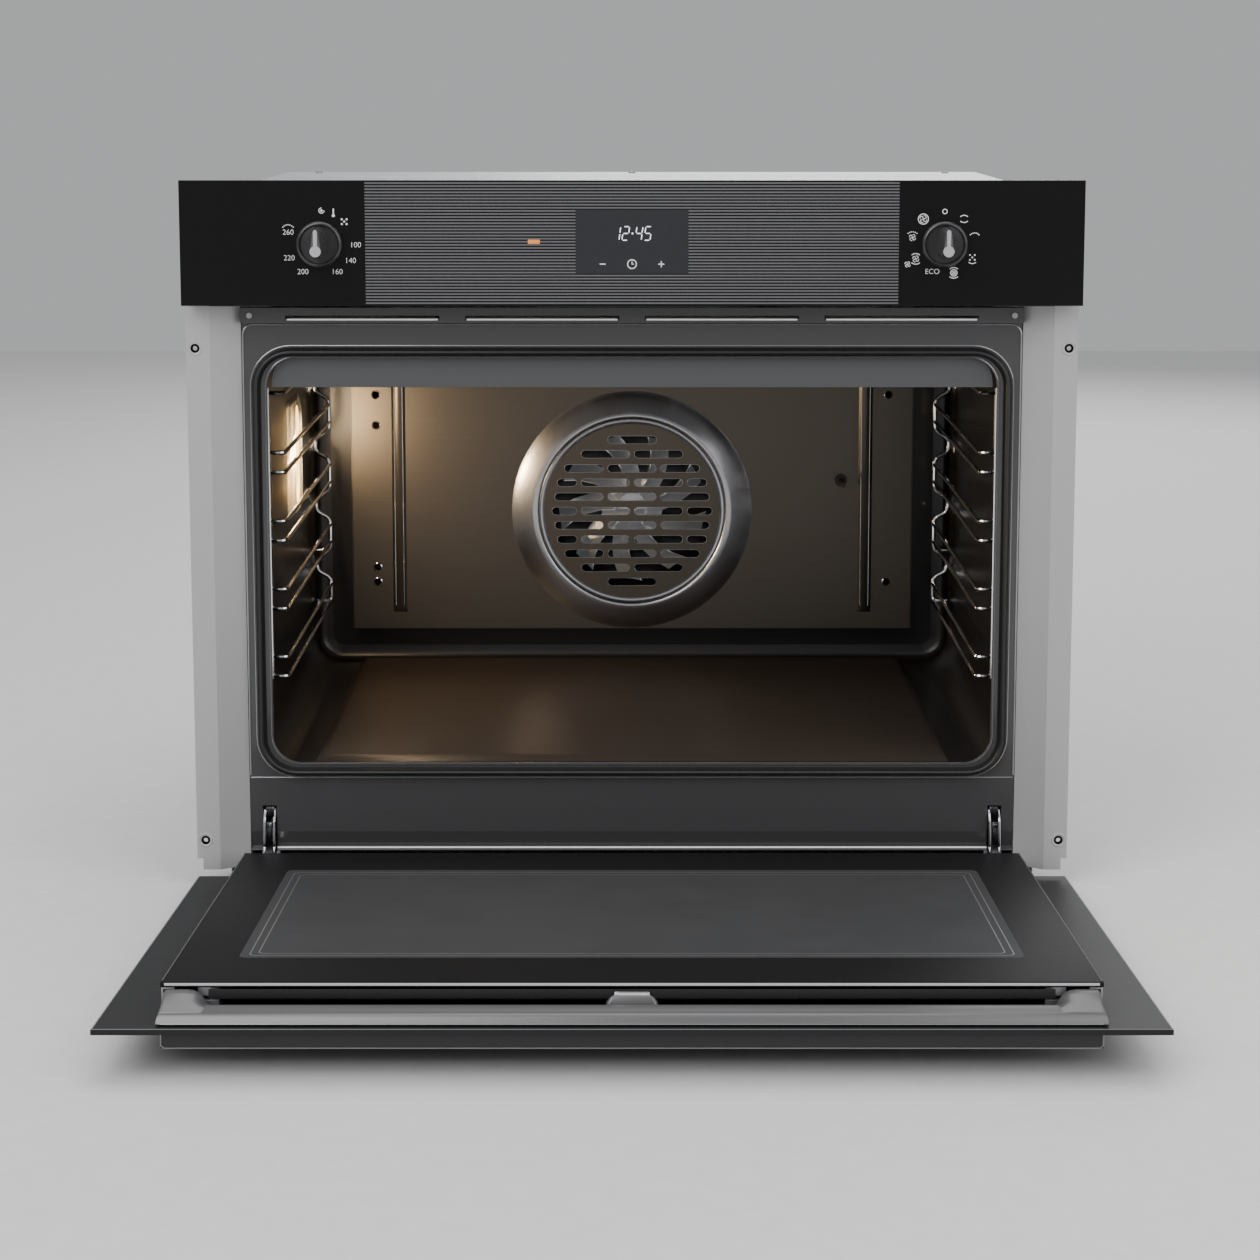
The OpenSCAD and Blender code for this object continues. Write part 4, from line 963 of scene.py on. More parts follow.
@dataclass
class Carcass:
    """Steel body, its insulation, fans and rear services."""

    edge: float = 0.5 * MM

    def build(self) -> None:
        """Dresses the body's own CAD nodes."""
        for node in ("base_plate", "side_panel_left", "side_panel_right", "rear_cover", "top_cover"):
            dress(node, GALVANISED, self.edge)
        for node in ("lamp_housing", "cooling_duct", "steam_chimney"):
            dress(node, GALVANISED)
        for node in ("insulation_wrap", "insulation_rear"):
            dress(node, WOOL)
        for node in ("fan_motor", "cooling_fan_motor"):
            dress(node, MOTOR)
        for node in ("ring_heater", "grill_element", "bottom_element"):
            dress(node, DARK_CLADDING)
        dress("rack_pins", CHROME)
        dress("body_screws", RAIL_GREY)
        dress("temperature_probe", DARK_STEEL)
        dress("terminal_block", MOULDING, 0.8 * MM)
        dress("cord_gland", RUBBER, 0.6 * MM)
        dress("cooling_fan_drum", GLOWING_FAN_METAL)
        log.info("carcass dressed")


@dataclass
class Front:
    """Side frames, front plate, seal and vent strip round the mouth."""

    dimple: float = 6.2 * MM
    hole: float = 2.5 * MM
    vent_pitch: float = 152.7 * MM
    vent_half: float = 64 * MM
    seal_reach: float = 8.2 * MM
    seal_width: float = 6.9 * MM
    seal_corner: float = 30 * MM
    mouth_corner: float = 25 * MM
    # Sizes of the thin light tubes round the mouth and on the front plate, which are painted highlights.
    mouth_highlight_wire: float = 1.1 * MM
    outer_highlight_out: float = 1.6 * MM
    outer_highlight_corner: float = 35 * MM
    thin_highlight_wire: float = 0.7 * MM
    plate_corner: float = 9 * MM
    plate_highlight_wire: float = 0.8 * MM
    glint_wire: float = 0.75 * MM
    glint_inset: float = 22 * MM

    def build(self) -> None:
        """Builds the front."""
        for node in ("side_frame_left", "side_frame_right"):
            dress(node, FRAME_GREY)
        for node in ("cavity_front_plate", "lower_front_panel", "vent_plate"):
            dress(node, ENAMEL, 0.5 * MM)
        dress("cavity_lip", LIP_GREY, 0.3 * MM)
        self.seal()
        self.mouth_rim_highlights()
        self.dimples()
        self.bright_lines()
        log.info("front built")

    def seal(self) -> None:
        """Sweeps the soft seal bead round the mouth."""
        lo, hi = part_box("door_seal")
        half = hi.x - self.seal_width / 2
        z0, z1 = lo.z + self.seal_width / 2, hi.z - self.seal_width / 2
        path = upright(rounded(half, z0, z1, self.seal_corner, 10), hi.y)
        w, h = self.seal_width / 2, self.seal_reach
        bead = [
            (-w, 0.0), (-w, h * 0.28), (-w * 0.55, h * 0.42), (-w * 0.62, h * 0.72), (-w * 0.3, h * 0.97),
            (w * 0.1, h), (w * 0.5, h * 0.86), (w * 0.66, h * 0.55), (w, h * 0.34), (w, 0.0),
        ]
        form = Form()
        form.sweep(path, bead, loop=True, up=Vector((0, -1, 0)))
        form.done("door_seal_bead", SEAL_BLACK, "oven", "seal_rubber", ["door_seal"], sharp=70)

    def dimples(self) -> None:
        """Presses a shallow cup round each cabinet screw hole."""
        form = Form()
        face = low("side_frame_left").y
        record = frame["record"]["mounts"]
        pattern = next(m for m in record if m["name"] == "cabinet_screws")
        cx, cz = pattern["pos_m"][0], pattern["pos_m"][2]
        dx, dz = pattern["dims"]["spacing_x_mm"] / 2 * MM, pattern["dims"]["spacing_y_mm"] / 2 * MM
        spots = [Vector((x, face, z)) for x in (cx - dx, cx + dx) for z in (cz - dz, cz + dz)]
        ring = [
            (self.hole, 0.9 * MM), (self.hole + 0.4 * MM, -0.05 * MM), (self.dimple - 1.6 * MM, -0.12 * MM),
            (self.dimple - 0.7 * MM, -0.6 * MM), (self.dimple, -0.02 * MM),
        ]
        for spot in spots:
            form.lathe(ring, spot, 32)
        form.done("flange_dimples", FRAME_GREY, "oven", "grey_frame")
        # A black sleeve lines each hole and rings its mouth: painted shade.
        form = Form()
        inner = self.hole - 0.5 * MM
        sleeve = [
            (self.hole, 2.0 * MM), (inner, 2.0 * MM), (inner, -0.2 * MM),
            (self.hole + 1.3 * MM, -0.25 * MM), (self.hole + 1.4 * MM, 0.1 * MM),
        ]
        for spot in spots:
            form.lathe(sleeve, spot, 32)
        form.done("flange_hole_shade", HOLE_BLACK, "oven", "grey_frame")

    def mouth_rim_highlights(self) -> None:
        """Lays two thin light tubes round the cavity mouth, one at its rim and one just outside the seal: painted
        highlights.
        """
        lo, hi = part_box("door_seal")
        inset = self.seal_width + 1.2 * MM
        rim = rounded(hi.x - inset - 3.6 * MM, lo.z + inset + 2 * MM, hi.z - inset, self.mouth_corner, 10)
        form = Form()
        form.tube(upright(rim, hi.y), self.mouth_highlight_wire, 10, loop=True)
        out = self.outer_highlight_out
        outer_highlight = rounded(hi.x + out, lo.z - out, hi.z + out, self.outer_highlight_corner, 10)
        form.tube(upright(outer_highlight, hi.y + 0.1 * MM), self.thin_highlight_wire, 8, loop=True)
        form.done("mouth_rim_highlights", RIM_HIGHLIGHT, "oven", "enamel")

    def bright_lines(self) -> None:
        """Adds thin light lines on the front: painted highlights along the plate's top and side edges and its
        bottom seam, and painted glints along the foot and under the vent slots.
        """
        lo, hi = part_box("cavity_front_plate")
        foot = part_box("lower_front_panel")
        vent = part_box("vent_plate")
        half, y = hi.x - 0.8 * MM, lo.y + 1.2 * MM
        top, low_z = hi.z - 1.2 * MM, foot[0].z + 2.5 * MM
        r = self.plate_corner
        form = Form()
        for side in (-1, 1):
            bend = [(side * x, z) for x, z in arc(half - r, top - r, r, 90, 0, 6)]
            form.tube(upright([(0.0, top), *bend, (side * half, lo.z + 2 * MM)], y), self.plate_highlight_wire, 8)
        seam = lo.z - 0.4 * MM
        form.tube(upright([(-half, seam), (half, seam)], y + 0.4 * MM), self.thin_highlight_wire, 8)
        form.done("front_plate_highlights", RIM_HIGHLIGHT, "oven", "enamel")
        # Glowing tubes along the foot and under each vent slot: painted glints.
        form = Form()
        reach, line = half - self.glint_inset, self.glint_wire
        form.tube(upright([(-reach, low_z), (reach, low_z)], foot[0].y + 0.8 * MM), line, 8)
        for i in (-1.5, -0.5, 0.5, 1.5):
            x, z = i * self.vent_pitch, vent[0].z + 3.3 * MM
            slot = [(x - self.vent_half, z), (x + self.vent_half, z)]
            form.tube(upright(slot, vent[0].y - 0.2 * MM), line, 8)
        form.done("front_glints", GLINT_GLOW, "oven", "enamel")


@dataclass
class Cavity:
    """Enamelled cavity with its wall beads, floor and lamp."""

    sheet: float = 1 * MM
    corner: float = 26 * MM
    tray_side: float = 46 * MM
    tray_end: float = 12 * MM
    bead: float = 5 * MM
    bead_depths: tuple[float, float] = (34 * MM, 400 * MM)
    fillet_top: float = 30 * MM
    lens_corner: float = 14 * MM

    def build(self) -> None:
        """Builds the cavity."""
        for node in ("cavity_wrapper", "cavity_back_wall"):
            dress(node, CAVITY_ENAMEL)
        self.floor_tray()
        self.wall_beads()
        self.rear_fillet()
        self.lamp()
        log.info("cavity built")

    def floor_tray(self) -> None:
        """Raises the pressed middle of the cavity floor."""
        lo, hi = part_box("cavity_wrapper")
        half = hi.x - self.tray_side
        y0, y1 = lo.y + self.tray_end, hi.y - self.tray_end
        base = lo.z + self.sheet
        form = Form()
        rings = []
        for inset, height in ((0, 0.2), (3, 2.4), (6, 4.2), (10, 5.0)):
            x, front, rear = half - inset * MM, y0 + inset * MM, y1 - inset * MM
            corners = [(x, rear), (-x, rear), (-x, front), (x, front)]
            rings.append([Vector((*corner, base + height * MM)) for corner in corners])
        form.loft(rings)
        form.done("cavity_floor_pressing", FLOOR_ENAMEL, "oven", "enamel", sharp=60)

    def wall_beads(self) -> None:
        """Presses an upright bead near the rear of each cavity wall."""
        lo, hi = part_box("cavity_wrapper")
        form = Form()
        inner = hi.x - self.sheet
        for side in (-1, 1):
            for depth in self.bead_depths:
                y = lo.y + depth
                ring = []
                for z, reach in (
                    (lo.z + 40 * MM, 0.0), (lo.z + 52 * MM, 3.5),
                    (hi.z - 60 * MM, 3.5), (hi.z - 48 * MM, 0.0),
                ):
                    ring.append(
                        [
                            Vector((side * (inner - reach * MM * w), y + t * self.bead, z))
                            for t, w in ((-2, 0), (-1.2, 0.5), (-0.6, 1), (0.6, 1), (1.2, 0.5), (2, 0))
                        ]
                    )
                form.loft(ring, around=False, ends=False)
        form.done("cavity_wall_beads", CAVITY_ENAMEL, "oven", "enamel")

    def rear_fillet(self) -> None:
        """Rounds the seam between the walls, the floor and the back."""
        lo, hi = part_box("cavity_wrapper")
        inner = hi.x - self.sheet
        top, r = hi.z - self.fillet_top, self.corner
        low_centre = lo.z + self.sheet + r
        path = [
            (-inner, top), *arc(-inner + r, low_centre, r, 180, 270, 8),
            *arc(inner - r, low_centre, r, 270, 360, 8), (inner, top),
        ]
        form = Form()
        rings = []
        points = upright(path, hi.y - self.sheet)
        for i, point in enumerate(points):
            before, after = points[max(0, i - 1)], points[min(len(points) - 1, i + 1)]
            along = (after - before).normalized()
            inward = Vector((-along.z, 0, along.x))
            ring = [(15, 0), (9, 0.9), (4.6, 2.2), (2.0, 4.2), (0.8, 6.6), (0.2, 9)]
            rings.append([point + inward * a * MM - Vector((0, b * MM, 0)) for a, b in ring])
        form.loft(rings, around=False, ends=False)
        form.done("cavity_rear_fillet", CAVITY_ENAMEL, "oven", "enamel", sharp=60)

    def lamp(self) -> None:
        """Sets the glowing lamp glass in its rim on the left wall."""
        dress("lamp_bulb", BULB_GLASS)
        lo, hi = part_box("lamp_lens")
        form = Form()
        y, z = (lo.y + hi.y) / 2, (lo.z + hi.z) / 2
        dy, dz = (hi.y - lo.y) / 2, (hi.z - lo.z) / 2
        rings = []
        for share, grow in ((0.0, 1.0), (0.5, 0.98), (0.8, 0.9), (0.97, 0.75), (1.0, 0.5)):
            x = lo.x + (hi.x - lo.x) * share
            edge = rounded(dy * grow, -dz * grow, dz * grow, self.lens_corner * grow)
            rings.append([Vector((x, y + a, z + b)) for a, b in edge])
        form.loft(rings)
        form.done("lamp_glass_dome", LAMP_GLASS, "oven", "lamp_glass", ["lamp_lens"], sharp=60)
        form = Form()
        rings = []
        for share, grow in ((0.9, 1.0), (1.04, 0.9), (1.1, 0.5)):
            x = lo.x + (hi.x - lo.x) * share
            narrow, tall = dy * 0.2 * grow, dz * 0.86 * grow
            rings.append([Vector((x, y + a, z + b)) for a, b in rounded(narrow, -tall, tall, narrow * 0.98)])
        form.loft(rings)
        form.done("lamp_glass_heart", LAMP_HEART, "oven", "lamp_glass", sharp=60)


@dataclass
class FanCover:
    """Pressed steel cover at the back of the cavity with the fan grille."""

    slot_rows: int = 5
    row_pitch: float = 14.5 * MM
    slot_height: float = 8 * MM
    slot_pitch: float = 53.5 * MM
    slot_gap: float = 4.2 * MM
    clip: float = 81 * MM
    grille: float = 88.5 * MM
    ring_in: float = 95 * MM
    ring_out: float = 119.7 * MM
    bead_x: float = 235.5 * MM
    hole: float = 3.5 * MM
    left_holes: tuple[float, ...] = (380 * MM, 349 * MM, 204 * MM, 189 * MM)
    right_holes: tuple[float, ...] = (380 * MM, 189 * MM)

    def build(self) -> None:
        """Builds the cover."""
        lo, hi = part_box("fan_cover_panel")
        axis = self.axis()
        face = lo.y + 8 * MM
        form = Form()
        holes = [arc(axis.x, axis.z, self.ring_out, 0, 355, 71)]
        left = low("cover_screws").x + 5.1 * MM
        for z in self.left_holes:
            holes.append(arc(left, z, self.hole, 0, 337.5, 15))
        for z in self.right_holes:
            holes.append(arc(-left, z, self.hole, 0, 337.5, 15))
        half = hi.x
        form.plate([(half, lo.z), (half, hi.z), (-half, hi.z), (-half, lo.z)], holes, face, face + 1 * MM)
        for side in (-1, 1):
            edge = side * half
            form.block(Vector((edge - 0.5 * MM, face, lo.z)), Vector((edge + 0.5 * MM, hi.y, hi.z)))
        form.done("fan_cover_sheet", COVER_STEEL, "oven", "cover_steel", ["fan_cover_panel"])
        self.ring(axis, face)
        self.grille_disc(axis, face)
        self.beads(lo, hi, face)
        self.hole_highlights_and_screws(left, face)
        log.info("fan cover built")

    def axis(self) -> Vector:
        """The fan's axis."""
        lo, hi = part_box("convection_fan")
        return Vector(((lo.x + hi.x) / 2, 0, (lo.z + hi.z) / 2))

    def ring(self, axis: Vector, face: float) -> None:
        """Turns the wide sloping ring and the groove inside it.

        Args:
            axis: the fan's axis.
            face: the cover's front face.
        """
        outline = [
            (self.ring_out + 2 * MM, 0.1), (self.ring_out, -0.5), (self.ring_out - 2 * MM, -1.4),
            (self.ring_out - 8 * MM, -3.9), (self.ring_in + 6 * MM, -6.9), (self.ring_in + 2.5 * MM, -7.9),
            (self.ring_in, -7.7), (self.ring_in - 1.6 * MM, -5.6), (self.ring_in - 2.6 * MM, -3.4),
            (self.grille + 2.2 * MM, -3.2), (self.grille + 1.2 * MM, -4.6), (self.grille, -6.4),
        ]
        # The ring is coloured far lighter than the cover: painted highlight.
        form = Form()
        form.lathe([(r, y * MM) for r, y in outline], Vector((axis.x, face, axis.z)), 96)
        form.done("fan_cover_ring", RING_HIGHLIGHT_STEEL, "oven", "cover_steel", sharp=50)

    def grille_disc(self, axis: Vector, face: float) -> None:
        """Cuts the slotted disc.

        Args:
            axis: the fan's axis.
            face: the cover's front face.
        """
        holes = []
        rims = Form()
        for row in range(-self.slot_rows, self.slot_rows + 1):
            height = row * self.row_pitch
            reach = math.sqrt(self.clip**2 - height**2)
            shift = 0.0 if row % 2 else self.slot_pitch / 2
            for i in range(-2, 3):
                middle = i * self.slot_pitch + shift
                x0 = max(middle - (self.slot_pitch - self.slot_gap) / 2, -reach)
                x1 = min(middle + (self.slot_pitch - self.slot_gap) / 2, reach)
                if x1 - x0 > self.slot_height + 1 * MM:
                    holes.append(stadium(axis.x + x0, axis.x + x1, axis.z + height, self.slot_height))
        disc = arc(axis.x, axis.z, self.grille, 0, 355, 71)
        form = Form()
        form.plate(disc, holes, face - 6.8 * MM, face - 5.8 * MM)
        form.done("fan_grille", COVER_STEEL, "oven", "cover_steel")
        # Light lips round the slots: painted highlights.
        for hole in holes:
            lip = [(-0.28 * MM, 0.0), (0.28 * MM, 0.0), (0.1 * MM, 0.3 * MM), (-0.1 * MM, 0.3 * MM)]
            rims.sweep(upright(hole, face - 6.8 * MM), lip, loop=True, up=Vector((0, -1, 0)))
        rims.done("fan_grille_rims", RING_HIGHLIGHT_STEEL, "oven", "cover_steel")

    def beads(self, lo: Vector, hi: Vector, face: float) -> None:
        """Presses the two upright beads.

        Args:
            lo: the cover's lowest corner.
            hi: the cover's highest corner.
            face: its front face.
        """
        form = Form()
        for side in (-1, 1):
            rows = []
            for z, reach in ((lo.z + 17 * MM, 0.0), (lo.z + 22 * MM, 1.0), (hi.z - 1 * MM, 1.0)):
                rows.append(
                    [
                        Vector((side * self.bead_x + t * MM, face - 2.9 * MM * reach * w, z))
                        for t, w in ((-7, 0), (-5, 0.5), (-3.4, 1), (3.4, 1), (5, 0.5), (7, 0))
                    ]
                )
            form.loft(rows, around=False, ends=False)
        form.done("fan_cover_beads", COVER_STEEL, "oven", "cover_steel", sharp=60)
        # Light tubes along the beads' edges: painted highlights.
        form = Form()
        foot, top = lo.z + 22 * MM, hi.z - 1.5 * MM
        for side in (-1, 1):
            x, r = side * self.bead_x, 4.2 * MM
            bend = arc(x, foot + r, r, 180, 360, 8)
            form.tube(upright([(x - r, top), *bend, (x + r, top)], face - 2.3 * MM), 0.55 * MM, 8)
        form.done("fan_cover_bead_highlights", RING_HIGHLIGHT_STEEL, "oven", "cover_steel")

    def hole_highlights_and_screws(self, left: float, face: float) -> None:
        """Puts a chrome-coloured edge round each hole of the cover, a painted highlight, and sets dark screw heads
        in some of them.

        Args:
            left: x of the left holes.
            face: the cover's front face.
        """
        form = Form()
        for x, z in [(left, h) for h in self.left_holes] + [(-left, h) for h in self.right_holes]:
            form.lathe(
                [
                    (self.hole, 0.3 * MM), (self.hole + 0.2 * MM, -0.5 * MM),
                    (self.hole + 1.0 * MM, -0.05 * MM),
                ],
                Vector((x, face, z)),
                24,
            )
        form.done("fan_cover_hole_highlights", CHROME, "oven", "cover_steel")
        form = Form()
        head = [(3.3, 0.9), (3.3, 0.2), (1.6, 0.1), (1.4, 0.8), (0.1, 0.8)]
        for x, z in [(left, h) for h in self.left_holes[1:3]] + [(-left, h) for h in self.right_holes]:
            form.lathe([(r * MM, y * MM) for r, y in head], Vector((x, face, z)), 24)
        form.done("fan_cover_screw_heads", HOLE_BLACK, "oven", "cover_steel", ["cover_screws"])


@dataclass
class ConvectionFan:
    """Bright aluminium fan wheel behind the grille, with a faint painted glow."""

    blades: int = 9
    hub: float = 15 * MM
    reach: float = 74 * MM

    def build(self) -> None:
        """Builds the wheel on the CAD fan's axis."""
        lo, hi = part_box("convection_fan")
        cx, cz = (lo.x + hi.x) / 2, (lo.z + hi.z) / 2
        back = lo.y + 15 * MM
        form = Form()
        centre = Vector((cx, back, cz))
        form.lathe(
            [
                (0.1 * MM, -13 * MM), (5 * MM, -13 * MM), (5.4 * MM, -9 * MM), (self.hub, -7.5 * MM),
                (self.hub + 2 * MM, 0.0), (self.reach * 0.42, 0.4 * MM), (self.reach * 0.42, 1.2 * MM),
                (0.1 * MM, 1.2 * MM),
            ],
            centre,
            48,
        )
        form.tube([centre, Vector((cx, hi.y, cz))], 3.9 * MM)
        for i in range(self.blades):
            start = TURN * i / self.blades
            rows = []
            for share in (0.0, 0.25, 0.5, 0.75, 1.0):
                r = self.hub + (self.reach - self.hub) * share
                turn = start + 0.5 * share
                width = (13 + 9 * share) * MM
                along = Vector((-math.sin(turn), 0, math.cos(turn)))
                out = Vector((math.cos(turn), 0, math.sin(turn)))
                point = centre + out * r
                rows.append(
                    [
                        point + along * (-width / 2) + Vector((0, -0.5 * MM, 0)),
                        point + along * (width * 0.1) + Vector((0, -4 * MM, 0)),
                        point + along * (width / 2) + Vector((0, -13.5 * MM, 0)),
                        point + along * (width / 2 + 1 * MM) + Vector((0, -13.5 * MM, 0)),
                        point + along * (width * 0.16) + Vector((0, -3 * MM, 0)),
                    ]
                )
            form.loft(rows)
        form.done(
            "convection_fan_wheel", GLOWING_FAN_METAL, "convection_rotor", "fan_metal", ["convection_fan"], sharp=40
        )
        log.info("convection fan built")


@dataclass
class SideRack:
    """Wire rack for the trays on one cavity wall."""

    node: str
    side: int
    wire: float = 2.0 * MM
    levels: int = 4
    pitch: float = 60.4 * MM
    pair: float = 17.2 * MM
    bend: float = 6 * MM

    def build(self) -> None:
        """Builds the rack inside its CAD node's box."""
        lo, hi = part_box(self.node)
        inner = (lo.x if self.side > 0 else -hi.x) + 2.6 * MM
        wall = (hi.x if self.side > 0 else -lo.x) - 2.6 * MM
        y0, y1 = lo.y + 2.6 * MM, hi.y - 2.6 * MM
        first = lo.z + 11 * MM
        top = hi.z - 5 * MM
        form = Form()
        half = self.pair / 2
        heights = [first + i * self.pitch + s * half for i in range(self.levels) for s in (-1, 1)]
        for z in [*heights, top]:
            path = self.soften([(wall, y0, z), (inner, y0, z), (inner, y1, z)])
            form.tube(path, self.wire, 10)
        post = self.points([(wall, y0, lo.z + 0.5 * MM), (wall, y0, hi.z - 0.5 * MM)])
        form.tube(post, self.wire * 1.15, 10)
        rear = [(wall, y1, lo.z + 2 * MM), (inner, y1, lo.z + 2 * MM)]
        for i in range(self.levels):
            z = first + i * self.pitch
            rear += [
                (inner, y1, z + half + 6 * MM),
                (wall, y1, z + half + 13 * MM),
                (wall, y1, z + self.pitch - half - 17 * MM),
                (inner, y1, z + self.pitch - half - 9 * MM),
            ]
        rear[-2:] = [(wall, y1, top - 2 * MM)]
        form.tube(self.soften(rear), self.wire * 1.1, 10)
        form.done(self.node + "_wires", CHROME, "oven", "chromed_wire", [self.node])
        log.info("%s built", self.node)

    def points(self, path: Sequence[tuple[float, float, float]]) -> list[Vector]:
        """Path points put on this rack's side."""
        return [Vector((self.side * x, y, z)) for x, y, z in path]

    def soften(self, path: Sequence[tuple[float, float, float]]) -> list[Vector]:
        """Rounds the corners of a path.

        Args:
            path: the corner points.

        Returns:
            The points with each corner cut into a bend.
        """
        points = self.points(path)
        out = [points[0]]
        for a, b, c in zip(points, points[1:], points[2:]):
            cut = min(self.bend, (b - a).length * 0.45, (c - b).length * 0.45)
            p, q = b + (a - b).normalized() * cut, b + (c - b).normalized() * cut
            for t in (0.0, 0.2, 0.4, 0.6, 0.8, 1.0):
                out.append(p * (1 - t) ** 2 + b * 2 * t * (1 - t) + q * t**2)
        return [*out, points[-1]]


@dataclass
class Door:
    """Drop-down glass door with its ledge and handle."""

    frit_side: float = 46 * MM
    frit_low: float = 69 * MM
    frit_high: float = 70 * MM
    window_corner: float = 6 * MM
    end_block: float = 31.7 * MM

    def __post_init__(self) -> None:
        """Works out the pivot and the resting angle from the hinge."""
        hinge = next(j for j in frame["joints"] if j["name"] == "door_hinge")
        self.pivot = Vector(hinge["pos_m"])
        self.angle = math.radians(hinge["range_deg"][1])
        self.place = Matrix.Translation(self.pivot) @ Matrix.Rotation(self.angle, 4, "X")

    def local(self, node: str) -> tuple[Vector, Vector]:
        """A CAD node's box in the upright door.

        Args:
            node: the CAD node.

        Returns:
            Lowest and highest corner: across, minus outwards, up from the pivot.
        """
        back = self.place.inverted()
        points = [back @ v.co for v in frame["nodes"][node].data.vertices]
        return (
            Vector([min(p[i] for p in points) for i in range(3)]),
            Vector([max(p[i] for p in points) for i in range(3)]),
        )

    def build(self) -> None:
        """Builds the door."""
        dress("door_outer_glass", DOOR_GLASS, 0.5 * MM)
        dress("door_middle_glass", MIDDLE_GLASS)
        dress("door_rails", RAIL_GREY, 0.3 * MM)
        dress("hinge_case_left", HINGE_STEEL)
        dress("hinge_case_right", HINGE_STEEL)
        dress("tension_rods", HINGE_STEEL)
        self.inner_glass()
        self.ledge()
        self.catch()
        self.handle()
        log.info("door built")

    def inner_glass(self) -> None:
        """Builds the inner pane, its printed border and its window."""
        lo, hi = self.local("door_inner_glass")
        form = Form()
        form.block(lo, Vector((hi.x, hi.y, hi.z - 0.5 * MM)), 0.8 * MM)
        form.done("inner_glass_pane", FRIT, "door", "frit_glass", ["door_inner_glass"], self.place)
        # Light strip along the pane's front edge: painted highlight.
        form = Form()
        form.block(
            Vector((lo.x + 3 * MM, lo.y + 1.2 * MM, hi.z - 1 * MM)),
            Vector((hi.x - 3 * MM, hi.y - 0.9 * MM, hi.z)),
            0.3 * MM,
        )
        form.done("inner_glass_front_edge_highlight", GLASS_EDGE_HIGHLIGHT, "door", "frit_glass", place=self.place)
        form = Form()
        for side in (-1, 1):
            x = side * (hi.x - 1 * MM)
            path = [Vector((x, hi.y - 0.1 * MM, lo.z + 6 * MM)), Vector((x, hi.y - 0.1 * MM, hi.z - 4 * MM))]
            form.tube(path, 0.3 * MM, 6)
        form.done("inner_glass_side_edges", WING_EDGE, "door", "frit_glass", place=self.place)
        self.wing_edges()
        half = hi.x - self.frit_side
        outline = rounded(half, lo.z + self.frit_low, hi.z - self.frit_high, self.window_corner, 4)
        form = Form()
        form.plate(outline, [], hi.y, hi.y + 0.05 * MM)
        form.done("inner_glass_window", WINDOW, "door", "frit_glass", place=self.place)
        form = Form()
        for inset in (7 * MM, 13 * MM):
            foot, top = lo.z + self.frit_low + inset * 1.4, hi.z - self.frit_high - inset
            edge = rounded(half - inset, foot, top, 5 * MM, 4)
            lip = [(-0.5 * MM, 0.0), (0.5 * MM, 0.0), (0.0, 0.12 * MM)]
            form.sweep(upright(edge, hi.y + 0.05 * MM), lip, loop=True, up=Vector((0, 1, 0)))
        form.done("window_reflections", RAIL_GREY, "door", "frit_glass", place=self.place)

    def ledge(self) -> None:
        """Builds the ledge along the door's free edge: a recess, a crest and a rolled front edge."""
        lo, hi = self.local("door_ledge")
        half = hi.x
        back, front = lo.z + 1.2 * MM, hi.z
        profile = [
            (1.4, -11.8), (1.4, -5.0), (2.0, -5.4), (11.0, -5.4), (11.7, -2.0), (12.2, -0.6), (13.2, 0.2),
            (14.6, 0.1), (16.8, -0.6), (20.0, -1.8), (23.0, -3.2), (23.8, -3.4), (24.6, -4.1), (26.2, -6.6),
            (27.3, -8.8), (27.9, -9.6), (27.9, -10.2), (27.2, -10.5), (24.0, -10.5), (24.0, -11.8),
        ]
        form = Form()
        rings = []
        for side, inset in ((-1, 0.0), (-1, 2.0), (1, 2.0), (1, 0.0)):
            ring = []
            for u, h in profile:
                flare = 2.6 * MM * min(1.0, max(0.0, (h + 9.0) / 12.0))
                drop = 0.0 if inset else 0.9 * MM
                x = side * (half - flare - inset * MM)
                ring.append(Vector((x, h * MM - (drop if -9 < h else 0), lo.z + u * MM)))
            rings.append(ring)
        form.loft(rings)
        form.done("ledge_rail", LEDGE_GREY, "door", "door_metal", ["door_ledge"], self.place, sharp=50)
        self.end_blocks(half, lo.z)
        # Dark sheets lining the recess: painted shade.
        form = Form()
        inner = half - 34 * MM
        wall, floor = back + 0.4 * MM, back + 1.4 * MM
        form.block(Vector((-inner, 2 * MM, wall)), Vector((inner, 8.4 * MM, floor)), 0.3 * MM)
        form.block(Vector((-inner, -5.2 * MM, floor)), Vector((inner, -4.6 * MM, back + 8.2 * MM)), 0.2 * MM)
        form.done("ledge_recess_shade_lining", RECESS_SHADE, "door", "door_metal", place=self.place)
        # A light tube along the front edge: painted glint.
        form = Form()
        path = [Vector((x, -9.9 * MM, front - 0.5 * MM)) for x in (-half + 4 * MM, half - 4 * MM)]
        form.tube(path, 0.5 * MM, 8)
        form.done("ledge_front_glint", EDGE_GLINT, "door", "door_metal", place=self.place)

